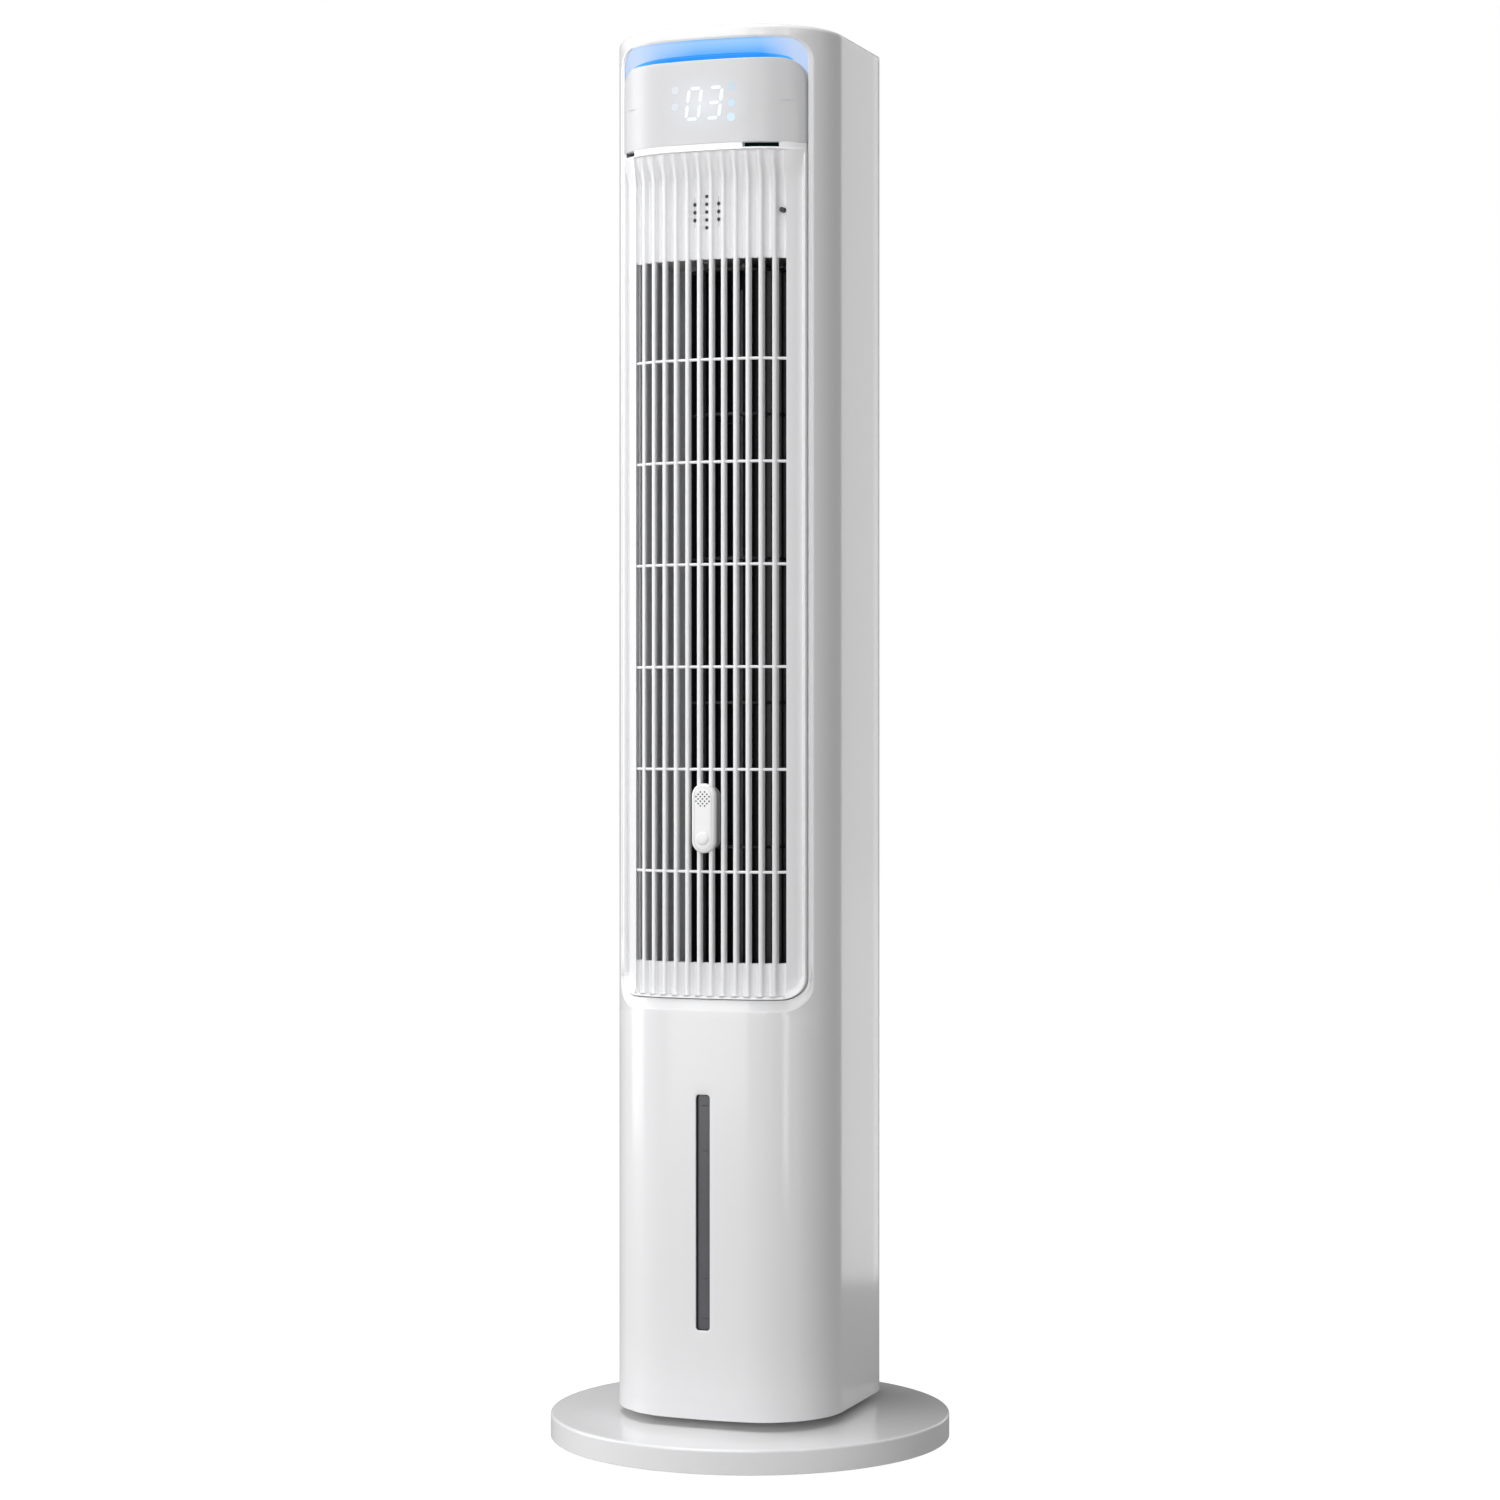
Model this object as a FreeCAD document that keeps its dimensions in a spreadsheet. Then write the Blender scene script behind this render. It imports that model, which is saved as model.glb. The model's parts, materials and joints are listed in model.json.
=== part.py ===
import FreeCAD, Part
import math
import os
import re
import Sketcher

# A tower fan with a water cooler in its foot.  It stands on a round disc and swings on it.
# Millimetres.  The origin is the centre of the disc on the floor, +Z is up and the air
# leaves towards -Y.  Every driving size is a cell of the sheet "dims", and a size written
# as text below is a formula in the words of that sheet.

Vector = FreeCAD.Vector
Turn = FreeCAD.Rotation

SIZES = {
    # the round foot
    "disc_radius": 155, "disc_low": 2, "disc_rim": 20.6, "dome_top": 31, "dome_radius": 860,
    "rim_fillet": 2, "cover_wall": 2.5, "hub_opening": 52, "foot_height": 2.5, "foot_radius": 11,
    "foot_circle": 132, "plate_radius": 150, "plate_top": 4, "weight_inner": 62,
    "weight_outer": 134, "weight_top": 14, "rim_screw_circle": 140, "post_screw_circle": 36,
    "screw_radius": 1.6, "screw_hole": 1.65, "screw_head": 3.4, "boss_radius": 4.5,
    # the pivot, its ball race and the swing gears
    "flange_radius": 54, "flange_top": 8, "post_radius": 20, "post_bore": 14, "post_top": 60,
    "clip_low": 57.2, "clip_high": 58.7, "clip_depth": 1.5, "running_gap": 0.05,
    "race_radius": 41, "ball_radius": 2, "ball_level": 33, "race_top": 32, "race_width": 16,
    "gear_module": 1.5, "gear_teeth": 36, "pinion_teeth": 12, "gear_low": 49, "gear_high": 57,
    "tooth_play": 0.2, "sleeve_top": 48.5, "sleeve_radius": 26, "stepper_radius": 14,
    "stepper_offset": 8, "stepper_top": 79, "stepper_ear": 17.5,
    # the tower's outline and its two shells
    "half_width": 89.2, "front_line": -102.75, "front_radius": 312.4, "corner_radius": 64,
    "side_end": 52, "rear_step": 2, "rear_corner": 78.5, "rear_corner_line": 82,
    "rear_flat": 67, "rear_line": 92, "rear_bend": 14, "wall": 2.5, "tower_low": 34,
    "tower_high": 1078, "top_fillet": 3.5, "rim_width": 5, "ledge_width": 9, "ledge_low": 1070,
    "ledge_high": 1073, "shell_gap": 0.1, "floor_top": 38,
    # the front recess with the display, the light and the grille
    "recess_half": 79.3, "recess_low": 339, "recess_high": 1069, "recess_depth": 1.6,
    "opening_half": 76.2, "opening_low": 344, "opening_corner": 15, "panel_half": 75.3,
    "panel_inset": 0.3, "display_low": 989.6, "display_high": 1052.8, "strip_half": 64,
    "strip_high": 1057.2, "grille_low": 347.4, "grille_high": 986, "grille_depth": 8,
    "slot_low": 374.8, "slot_high": 903.9, "slot_pitch": 9.6, "slot_width": 6.4,
    "slot_count": 13, "valley_low": 351, "valley_high": 983.5, "valley_depth": 3.6,
    "bar_height": 2.2, "bar_low": 444, "bar_pitch": 76.86, "bar_count": 6,
    "sound_level": 939.6, "sound_pitch": 5.9, "sound_hole": 1.35, "eye_hole": 2,
    # the scent capsule in the grille
    "capsule_level": 483, "capsule_half": 9.8, "capsule_rise": 26.5, "capsule_proud": 4,
    "socket_half": 7.5, "socket_rise": 24, "socket_wall": 1.8, "moving_gap": 0.3,
    "capsule_back": -84,
    # the water window, the tank and its shelf
    "window_half": 5.5, "window_low": 98.2, "window_high": 275.3, "window_corner": 2.5,
    "shelf_low": 80, "shelf_top": 83.8, "tank_half": 63, "tank_front": -96, "tank_back": 89,
    "tank_top": 300, "tank_wall": 2.5, "tank_corner": 30, "door_top": 327.4, "door_gap": 0.5,
    "grip_half": 34, "grip_low": 303, "grip_high": 322, "drain_side": -40, "drain_level": 100,
    "drain_radius": 6,
    # the air path: impeller, motor, pad, tray and filter
    "duct_low": 330.5, "duct_floor_top": 333.5, "fan_side": 6, "fan_line": -28,
    "fan_radius": 44, "fan_low": 350, "fan_high": 900, "fan_blades": 30, "shaft_radius": 4,
    "deck_low": 908, "deck_top": 911, "fan_motor_radius": 38, "fan_motor_top": 968,
    "duct_half": 62, "duct_front": -79, "pad_half": 58, "pad_low": 351, "pad_high": 952,
    "pad_front": 53, "pad_back": 72, "tray_half": 55, "tray_low": 957, "tray_high": 975,
    "filter_half": 55.5, "filter_low": 352.6, "filter_high": 961.4, "filter_rows": 15,
    "pipe_side": 50, "pipe_line": 62, "pipe_outer": 76, "pipe_radius": 4, "pipe_bore": 2.5,
    # the top panel with its keys, the boards, the handle and the inlet
    "key_row": -60, "key_pitch": 24, "key_radius": 7, "key_count": 5, "key_top": 1077.5,
    "key_travel": 1, "grip_cup_low": 995, "grip_cup_high": 1029, "grip_cup_half": 42,
    "inlet_side": -36, "inlet_level": 56,
}

document = FreeCAD.newDocument("tower_fan")
sheet = document.addObject("Spreadsheet::Sheet", "dims")
nodes = []


def fill_sheet():
    """One row for each driving size: its name in column A, its value in column B."""
    for row, (word, size) in enumerate(SIZES.items(), start=1):
        sheet.set(f"A{row}", word)
        sheet.set(f"B{row}", str(size))
        sheet.setAlias(f"B{row}", word)
    document.recompute()


def formula(text):
    """A size written in the sheet's words, as an expression of the document."""
    return re.sub(r"[a-z_]+", lambda found: f"dims.{found[0]}" if found[0] in SIZES else found[0],
                  str(text))


def number(text):
    """The present value of a formula."""
    return float(sheet.evalExpression(formula(text)))


def bind(piece, property_path, text):
    piece.setExpression(property_path, formula(text))


def node(label, piece):
    """Marks an object of the document as one sub-part with this label."""
    piece.Label = label
    nodes.append(piece)
    return piece


# ---- primitives and booleans -------------------------------------------------------------

def place(piece, x, y, z):
    bind(piece, "Placement.Base.x", x)
    bind(piece, "Placement.Base.y", y)
    bind(piece, "Placement.Base.z", z)
    return piece


def box(x, y, z):
    """A box between pairs of formulas, each a low and a high value."""
    piece = document.addObject("Part::Box", "box")
    bind(piece, "Length", f"({x[1]}) - ({x[0]})")
    bind(piece, "Width", f"({y[1]}) - ({y[0]})")
    bind(piece, "Height", f"({z[1]}) - ({z[0]})")
    return place(piece, x[0], y[0], z[0])


def upright(x, y, z, radius):
    """A cylinder along Z between a low and a high level."""
    piece = document.addObject("Part::Cylinder", "upright")
    bind(piece, "Radius", radius)
    bind(piece, "Height", f"({z[1]}) - ({z[0]})")
    return place(piece, x, y, z[0])


def level(x, y, z, radius):
    """A cylinder along Y between a low and a high value of y."""
    piece = document.addObject("Part::Cylinder", "level")
    bind(piece, "Radius", radius)
    bind(piece, "Height", f"({y[1]}) - ({y[0]})")
    piece.Placement = FreeCAD.Placement(Vector(), Turn(Vector(1, 0, 0), -90))
    return place(piece, x, y[0], z)


def join(pieces):
    piece = document.addObject("Part::MultiFuse", "join")
    piece.Shapes = pieces
    return piece


def cut(base, tools):
    piece = document.addObject("Part::Cut", "cut")
    piece.Base = base
    piece.Tool = tools[0] if len(tools) == 1 else join(tools)
    return piece


def common(first, second):
    piece = document.addObject("Part::Common", "common")
    piece.Base = first
    piece.Tool = second
    return piece


def solid(shape, placement=None):
    """A shape made in code from the sheet's sizes."""
    piece = document.addObject("Part::Feature", "solid")
    piece.Shape = shape
    piece.Placement = placement or FreeCAD.Placement()
    return piece


# ---- sketches and their features ---------------------------------------------------------

def new_body(name):
    return document.addObject("PartDesign::Body", name)


def new_sketch(body, plane, offset="0"):
    """A sketch on one of the body's own planes, moved along that plane's normal."""
    sketch = body.newObject("Sketcher::SketchObject", "sketch")
    origin_plane = next(item for item in body.Origin.OriginFeatures if item.Role == plane)
    sketch.AttachmentSupport = [(origin_plane, "")]
    sketch.MapMode = "FlatFace"
    bind(sketch, "AttachmentOffset.Base.z", offset)
    return sketch


def fix_size(sketch, constraint, text):
    """Adds a constraint and binds its value to a formula."""
    index = sketch.addConstraint(constraint)
    label = f"size_{index}"
    sketch.renameConstraint(index, label)
    bind(sketch, f"Constraints.{label}", text)


def arc_between(start, end, radius, side):
    """The short arc from start to end, with its centre on the given side of the way."""
    chord = end - start
    right = Vector(chord.y, -chord.x, 0).normalize() * (1 if side == "right" else -1)
    rise = math.sqrt(max(radius ** 2 - (chord.Length / 2) ** 2, 0))
    centre = (start + end) * 0.5 + right * rise
    return Part.Arc(start, centre - right * radius, end)


def draw_outline(sketch, corners):
    """A closed outline.  A corner is (x, y), or (x, y, radius, side) where an arc leaves it."""
    points = [Vector(number(corner[0]), number(corner[1]), 0) for corner in corners]
    starts = []
    ends = []
    for index, corner in enumerate(corners):
        end = points[(index + 1) % len(points)]
        if len(corner) == 2:
            edge = sketch.addGeometry(Part.LineSegment(points[index], end))
            starts.append((edge, 1))
            ends.append((edge, 2))
            continue
        edge = sketch.addGeometry(arc_between(points[index], end, number(corner[2]), corner[3]))
        starts.append((edge, 2 if corner[3] == "right" else 1))
        ends.append((edge, 1 if corner[3] == "right" else 2))
    for index, corner in enumerate(corners):
        sketch.addConstraint(Sketcher.Constraint("Coincident", *ends[index - 1], *starts[index]))
        point = points[index]
        fix_size(sketch, Sketcher.Constraint("DistanceX", -1, 1, *starts[index], point.x), corner[0])
        fix_size(sketch, Sketcher.Constraint("DistanceY", -1, 1, *starts[index], point.y), corner[1])
        if len(corner) == 4:
            size = number(corner[2])
            fix_size(sketch, Sketcher.Constraint("Radius", starts[index][0], size), corner[2])


def draw_circle(sketch, x, y, radius):
    centre = Vector(number(x), number(y), 0)
    edge = sketch.addGeometry(Part.Circle(centre, Vector(0, 0, 1), number(radius)))
    fix_size(sketch, Sketcher.Constraint("DistanceX", -1, 1, edge, 3, centre.x), x)
    fix_size(sketch, Sketcher.Constraint("DistanceY", -1, 1, edge, 3, centre.y), y)
    fix_size(sketch, Sketcher.Constraint("Radius", edge, number(radius)), radius)


def pad(body, sketch, length):
    feature = body.newObject("PartDesign::Pad", "pad")
    feature.Profile = sketch
    bind(feature, "Length", length)
    document.recompute()
    return feature


def pocket(body, sketch, reversed_way, length=None):
    """A pocket that has to take something away.  No length means through everything."""
    before = body.Shape.Volume
    feature = body.newObject("PartDesign::Pocket", "pocket")
    feature.Profile = sketch
    feature.Reversed = reversed_way
    if length is None:
        feature.Type = "ThroughAll"
    else:
        bind(feature, "Length", length)
    document.recompute()
    if body.Shape.Volume > before - 0.01:
        raise RuntimeError(f"a pocket of {body.Name} cuts nothing")
    return feature


def repeat_around(body, feature, sketch, count):
    """Repeats a feature around Z."""
    pattern = body.newObject("PartDesign::PolarPattern", "pattern")
    pattern.Originals = [feature]
    pattern.Axis = (sketch, ["N_Axis"])
    pattern.Angle = 360
    pattern.Occurrences = count
    body.Tip = pattern
    document.recompute()
    return pattern


def turned(name, corners):
    """A body turned about Z from an outline of radii and levels."""
    body = new_body(name)
    sketch = new_sketch(body, "XZ_Plane")
    draw_outline(sketch, corners)
    feature = body.newObject("PartDesign::Revolution", "revolution")
    feature.Profile = sketch
    feature.ReferenceAxis = (sketch, ["V_Axis"])
    feature.Angle = 360
    document.recompute()
    return body


def ring(name, inner, outer, low, high):
    return turned(name, [(inner, low), (outer, low), (outer, high), (inner, high)])


def prism(plane, corners, near, length):
    """A body padded from one closed outline on a plane."""
    body = new_body("prism")
    sketch = new_sketch(body, plane, near)
    draw_outline(sketch, corners)
    pad(body, sketch, length)
    return body


def rounded_corners(half, low, high, low_corner, high_corner):
    """An upright rounded rectangle, centred on x = 0, as seen from the front."""
    return [
        (f"{half}", f"{low} + {low_corner}"), (f"{half}", f"{high} - {high_corner}", high_corner, "left"),
        (f"{half} - {high_corner}", high), (f"-({half} - {high_corner})", high, high_corner, "left"),
        (f"-({half})", f"{high} - {high_corner}"),
        (f"-({half})", f"{low} + {low_corner}", low_corner, "left"),
        (f"-({half} - {low_corner})", low), (f"{half} - {low_corner}", low, low_corner, "left"),
    ]


def front_block(half, low, high, low_corner, high_corner):
    """A block with that outline, from inside the tower to well in front of it."""
    corners = rounded_corners(half, low, high, low_corner, high_corner)
    return prism("XZ_Plane", corners, "30", "-front_line")


# ---- the tower's outline -----------------------------------------------------------------

CORNER_X = "(half_width - corner_radius)"
CORNER_RISE = f"sqrt((front_radius - corner_radius)^2 - {CORNER_X}^2)"
CORNER_Y = f"(front_line + front_radius - {CORNER_RISE})"


def front_outline(inset, back):
    """Flat sides, two round corners and a slightly curved front, all set in by inset."""
    side = f"(half_width - {inset})"
    share = f"(front_radius - {inset}) / (front_radius - corner_radius)"
    bend_x = f"{CORNER_X} * {share}"
    bend_y = f"(front_line + front_radius - {CORNER_RISE} * {share})"
    bend = f"corner_radius - {inset}"
    return [
        (side, back), (side, CORNER_Y, bend, "right"),
        (bend_x, bend_y, f"front_radius - {inset}", "right"), (f"-{bend_x}", bend_y, bend, "right"),
        (f"-{side}", CORNER_Y), (f"-{side}", back),
    ]


def rear_outline(inset, front):
    """The narrower back of the tower: two leaning sides and a flat back with round corners."""
    corner = f"(rear_corner - {inset})"
    corner_y = f"(rear_corner_line - {inset} / 3)"
    lean = f"(half_width - rear_step - rear_corner) / ({corner_y} - side_end)"
    side = f"({corner} + {lean} * ({corner_y} - ({front})))"
    flat = f"(rear_flat - {inset} / 3)"
    back = f"rear_line - {inset}"
    return [
        (f"-{side}", front), (f"-{corner}", corner_y, "rear_bend", "right"), (f"-{flat}", back),
        (flat, back, "rear_bend", "right"), (corner, corner_y), (side, front),
    ]


def front_slab(inset, low, high, back="side_end"):
    return prism("XY_Plane", front_outline(inset, back), low, f"({high}) - ({low})")


def rear_slab(inset, low, high, front="side_end"):
    return prism("XY_Plane", rear_outline(inset, front), low, f"({high}) - ({low})")


def whole_slab(inset, low, high):
    """A plate that fills the tower from front to back."""
    corners = front_outline(inset, "side_end") + rear_outline(inset, "side_end")
    return prism("XY_Plane", corners, low, f"({high}) - ({low})")


def front_layer(block, outer, inner, low, high):
    """The part of a block that lies between two insets of the front."""
    layer = cut(front_slab(outer, low, high, "0"), [front_slab(inner, f"{low} - 1", f"{high} + 1", "5")])
    return common(layer, block)


def round_top_edges(body, radius):
    """Rounds the outer top edges, except the straight one where the two shells meet."""
    top = max(corner.Z for corner in body.Shape.Vertexes)
    names = []
    for index, edge in enumerate(body.Shape.Edges, start=1):
        meets = all(abs(corner.Y - number("side_end")) < 0.2 for corner in edge.Vertexes)
        if edge.CenterOfMass.z > top - 0.01 and not meets:
            names.append(f"Edge{index}")
    block = body.Tip
    fillet = body.newObject("PartDesign::Fillet", "fillet")
    fillet.Base = (block, names)
    bind(fillet, "Radius", radius)
    document.recompute()


# ---- the round foot ----------------------------------------------------------------------

def around(circle, count, index, first=0):
    """The x and y formulas of one place on a circle."""
    angle = first + 360 * index / count
    return f"{circle} * cos({angle})", f"{circle} * sin({angle})"


def make_rubber_feet():
    pieces = []
    for index in range(6):
        x, y = around("foot_circle", 6, index)
        pieces.append(upright(x, y, ("0", "foot_height"), "foot_radius"))
    node("rubber_feet", join(pieces))


def make_base_plate():
    body = turned("base_plate", [("0", "foot_height"), ("plate_radius", "foot_height"),
                                 ("plate_radius", "plate_top"), ("0", "plate_top")])
    for circle, count, first in (("rim_screw_circle", 6, 30), ("post_screw_circle", 4, 45)):
        sketch = new_sketch(body, "XY_Plane")
        x, y = around(circle, count, 0, first)
        draw_circle(sketch, x, y, "screw_radius + 0.6")
        repeat_around(body, pocket(body, sketch, True), sketch, count)
    node("base_plate", body)


def make_base_weight():
    node("base_weight", ring("base_weight", "weight_inner", "weight_outer", "plate_top", "weight_top"))


def make_base_cover():
    wall_x = "disc_radius - cover_wall"
    body = turned("base_cover", [
        (wall_x, "disc_low"), ("disc_radius", "disc_low"),
        ("disc_radius", "disc_rim - rim_fillet", "rim_fillet", "left"),
        ("disc_radius - rim_fillet", "disc_rim", "dome_radius", "left"),
        ("hub_opening", "dome_top"),
        ("hub_opening", "dome_top - cover_wall", "dome_radius", "right"),
        (wall_x, "disc_rim - cover_wall"),
    ])
    x, y = around("rim_screw_circle", 6, 0, 30)
    bosses = new_sketch(body, "XY_Plane", "plate_top")
    draw_circle(bosses, x, y, "boss_radius")
    repeat_around(body, pad(body, bosses, "disc_rim - plate_top"), bosses, 6)
    holes = new_sketch(body, "XY_Plane", "plate_top - 1")
    draw_circle(holes, x, y, "screw_hole")
    repeat_around(body, pocket(body, holes, True, "13"), holes, 6)
    node("base_cover", body)


def screw_up(x, y, seat, tip):
    """A screw driven upwards: its head hangs below the seat."""
    head = upright(x, y, (f"{seat} - 1.5", seat), "screw_head")
    return join([head, upright(x, y, (seat, tip), "screw_radius")])


def make_base_screws():
    pieces = []
    for index in range(6):
        pieces.append(screw_up(*around("rim_screw_circle", 6, index, 30), "foot_height", "plate_top + 10"))
    for index in range(4):
        pieces.append(screw_up(*around("post_screw_circle", 4, index, 45), "foot_height", "flange_top - 1"))
    node("base_screws", join(pieces))


# ---- the pivot and the swing drive -------------------------------------------------------

def make_pivot_post():
    body = turned("pivot_post", [
        ("post_bore", "plate_top"), ("flange_radius", "plate_top"), ("flange_radius", "flange_top"),
        ("post_radius", "flange_top"), ("post_radius", "clip_low"),
        ("post_radius - clip_depth", "clip_low"), ("post_radius - clip_depth", "clip_high"),
        ("post_radius", "clip_high"), ("post_radius", "post_top"), ("post_bore", "post_top"),
    ])
    sketch = new_sketch(body, "XY_Plane", "plate_top - 1")
    draw_circle(sketch, *around("post_screw_circle", 4, 0, 45), "screw_hole")
    repeat_around(body, pocket(body, sketch, True, "6"), sketch, 4)
    node("pivot_post", body)


def make_lower_race():
    groove = "(ball_radius + running_gap)"
    half = f"sqrt({groove}^2 - (ball_level - race_top)^2)"
    inner = "race_radius + 9 - race_width"
    node("lower_race", turned("lower_race", [
        ("race_radius + 4", "flange_top"), ("race_radius + 9", "flange_top"),
        ("race_radius + 9", "race_top"), (f"race_radius + {half}", "race_top", groove, "right"),
        (f"race_radius - {half}", "race_top"), (inner, "race_top"), (inner, "race_top - 4"),
        ("race_radius + 4", "race_top - 4"),
    ]))


def make_ball_ring():
    balls = []
    for index in range(16):
        ball = document.addObject("Part::Sphere", "ball")
        bind(ball, "Radius", "ball_radius")
        balls.append(place(ball, *around("race_radius", 16, index), "ball_level"))
    node("bearing_balls", join(balls))
    cage = ring("ball_cage", "race_radius - 3.5", "race_radius + 3.5", "ball_level - 0.7", "ball_level + 0.7")
    sketch = new_sketch(cage, "XY_Plane")
    draw_circle(sketch, *around("race_radius", 16, 0), "ball_radius + running_gap")
    repeat_around(cage, pocket(cage, sketch, True), sketch, 16)
    node("ball_cage", cage)


def involute(base_radius, radius):
    """How far round the flank of an involute tooth has turned at a radius."""
    angle = math.acos(min(base_radius / radius, 1))
    return math.tan(angle) - angle


def gear_shape(teeth, low, high):
    """A spur gear with 20 degree involute teeth, one of them on +X, thinned by the play."""
    module = number("gear_module")
    pitch = module * teeth / 2
    base = pitch * math.cos(math.radians(20))
    root = pitch - 1.25 * module
    tip = pitch + module
    half_tooth = (math.pi * module / 2 - number("tooth_play")) / 2 / pitch
    steps = [base + (tip - base) * share for share in (0, 0.15, 0.35, 0.6, 0.8, 1)]
    steps = [root] + [radius for radius in steps if radius > root]
    flank = [(radius, half_tooth + involute(base, pitch) - involute(base, max(radius, base)))
             for radius in steps]
    points = []
    for tooth in range(teeth):
        centre = 2 * math.pi * tooth / teeth
        for radius, angle in [(r, -a) for r, a in flank] + flank[::-1]:
            points.append(Vector(radius * math.cos(centre + angle), radius * math.sin(centre + angle), low))
    outline = Part.makePolygon(points + points[:1])
    return Part.Face(outline).extrude(Vector(0, 0, high - low))


def make_fixed_gear():
    shape = gear_shape(int(number("gear_teeth")), number("gear_low"), number("gear_high"))
    node("fixed_gear", cut(solid(shape), [upright("0", "0", ("gear_low - 1", "gear_high + 1"), "post_radius")]))


def make_post_clip():
    grip = "post_radius - clip_depth + 0.1"
    outer = upright("0", "0", ("clip_low + 0.05", "clip_high - 0.05"), "post_radius + 3.5")
    inner = upright("0", "0", ("clip_low - 1", "clip_high + 1"), grip)
    mouth = box(("-6", "6"), ("-30", "-10"), ("clip_low - 1", "clip_high + 1"))
    node("post_clip", cut(outer, [inner, mouth]))


PINION_Y = "(gear_module * (gear_teeth + pinion_teeth) / 2)"
STEPPER_Y = f"({PINION_Y} + stepper_offset)"


def make_swing_pinion():
    teeth = int(number("pinion_teeth"))
    shape = gear_shape(teeth, number("gear_low"), number("gear_high"))
    half_pitch = FreeCAD.Placement(Vector(0, number(PINION_Y), 0), Turn(Vector(0, 0, 1), 180 / teeth))
    shaft = upright("0", PINION_Y, ("gear_low", "post_top + 3"), "2.5")
    node("swing_pinion", join([solid(shape, half_pitch), shaft]))


def make_swing_motor():
    can = upright("0", STEPPER_Y, ("post_top", "stepper_top"), "stepper_radius")
    nose = upright("0", PINION_Y, ("post_top - 1.5", "post_top"), "4.5")
    ears = box(("-stepper_ear - 4", "stepper_ear + 4"), (f"{STEPPER_Y} - 4", f"{STEPPER_Y} + 4"),
               ("post_top", "post_top + 1"))
    plug = box(("-7", "7"), (f"{STEPPER_Y} + 12", f"{STEPPER_Y} + 18"), ("post_top + 4", "stepper_top - 2"))
    tools = [upright("0", PINION_Y, ("post_top - 3", "post_top + 4.5"), "2.5 + running_gap")]
    for side in ("-stepper_ear", "stepper_ear"):
        tools.append(upright(side, STEPPER_Y, ("post_top - 1", "post_top + 2"), "screw_radius + 0.2"))
    node("swing_motor", cut(join([can, nose, ears, plug]), tools))


def make_tower_floor():
    plate = whole_slab("(wall + shell_gap)", "tower_low", "floor_top")
    sleeve = upright("0", "0", ("tower_low", "sleeve_top"), "sleeve_radius")
    solids = [plate, sleeve]
    tools = [upright("0", "0", ("tower_low - 1", "sleeve_top + 1"), "post_radius + running_gap")]
    for side in ("-stepper_ear", "stepper_ear"):
        solids.append(upright(side, STEPPER_Y, ("tower_low", "post_top"), "4"))
        tools.append(upright(side, STEPPER_Y, ("post_top - 10", "post_top + 1"), "screw_hole"))
    race = document.addObject("Part::Torus", "race")
    bind(race, "Radius1", "race_radius")
    bind(race, "Radius2", "ball_radius + running_gap")
    tools.append(place(race, "0", "0", "ball_level"))
    node("tower_floor", cut(join(solids), tools))


# ---- the two shells ----------------------------------------------------------------------

SCREW_LEVELS = ("60", "342", "980", "1056")
SCREW_SIDES = ("-62", "62")


def hollow(slab, back):
    """What is taken out of a shell: the hollow, the hole inside the ledge, and inside the rim."""
    return [slab("wall", "tower_low - 1", "ledge_low", back), slab("ledge_width", "ledge_low", "ledge_high", back),
            slab("rim_width", "ledge_high", "tower_high + 1", back)]


def make_front_casing():
    block = front_slab("0", "tower_low", "tower_high")
    round_top_edges(block, "top_fillet")
    opening = front_block("opening_half", "opening_low", "recess_high", "opening_corner", "opening_corner")
    dish = cut(front_block("recess_half", "recess_low", "recess_high", "opening_corner + 3", "opening_corner"),
               [front_slab("recess_depth", "recess_low - 1", "recess_high + 1")])
    window = front_block("window_half", "window_low", "window_high", "window_corner", "window_corner")
    shell = cut(block, hollow(front_slab, "side_end + 5") + [opening, dish, window])
    arms = []
    holes = []
    for height in SCREW_LEVELS:
        for side, outer in zip(SCREW_SIDES, ("-half_width + wall - 0.5", "half_width - wall + 0.5")):
            ends = (outer, f"{side} + 5") if side == "-62" else (f"{side} - 5", outer)
            arms.append(box(ends, ("side_end - 6", "side_end"), (f"{height} - 5", f"{height} + 5")))
            holes.append(level(side, ("side_end - 8", "side_end + 1"), height, "screw_hole"))
    node("front_casing", cut(join([shell] + arms), holes))


def make_rear_casing():
    block = rear_slab("0", "tower_low", "tower_high", "side_end + shell_gap")
    round_top_edges(block, "top_fillet")
    through = ("rear_line - 8", "rear_line + 1")
    tank_way = box(("-tank_half - 1", "tank_half + 1"), through, ("shelf_top + 0.2", "door_top + door_gap"))
    filter_way = box(("-filter_half - 0.5", "filter_half + 0.5"), through,
                     ("filter_low - 0.6", "filter_high + 0.6"))
    grip_way = box(("-grip_cup_half + 2", "grip_cup_half - 2"), through,
                   ("grip_cup_low + 3", "grip_cup_high - 3"))
    inlet_way = box(("inlet_side - 11.2", "inlet_side + 11.2"), through, ("inlet_level - 6.2", "inlet_level + 6.2"))
    shell = cut(block, hollow(rear_slab, "side_end - 5") + [tank_way, filter_way, grip_way, inlet_way])
    tubes = []
    holes = []
    for height in SCREW_LEVELS:
        for side in SCREW_SIDES:
            tubes.append(level(side, ("side_end + shell_gap", "rear_line - 1"), height, "boss_radius"))
            holes.append(level(side, ("side_end", "rear_line + 1"), height, "screw_radius + 0.2"))
            holes.append(level(side, ("rear_line - 2.2", "rear_line + 1"), height, "screw_head + 0.3"))
    node("rear_casing", cut(join([shell] + tubes), holes))


def make_casing_screws():
    pieces = []
    for height in SCREW_LEVELS:
        for side in SCREW_SIDES:
            head = level(side, ("rear_line - 2.2", "rear_line - 0.4"), height, "screw_head")
            pieces.append(join([head, level(side, ("side_end - 5", "rear_line - 2.2"), height, "screw_radius")]))
    node("casing_screws", join(pieces))


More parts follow.
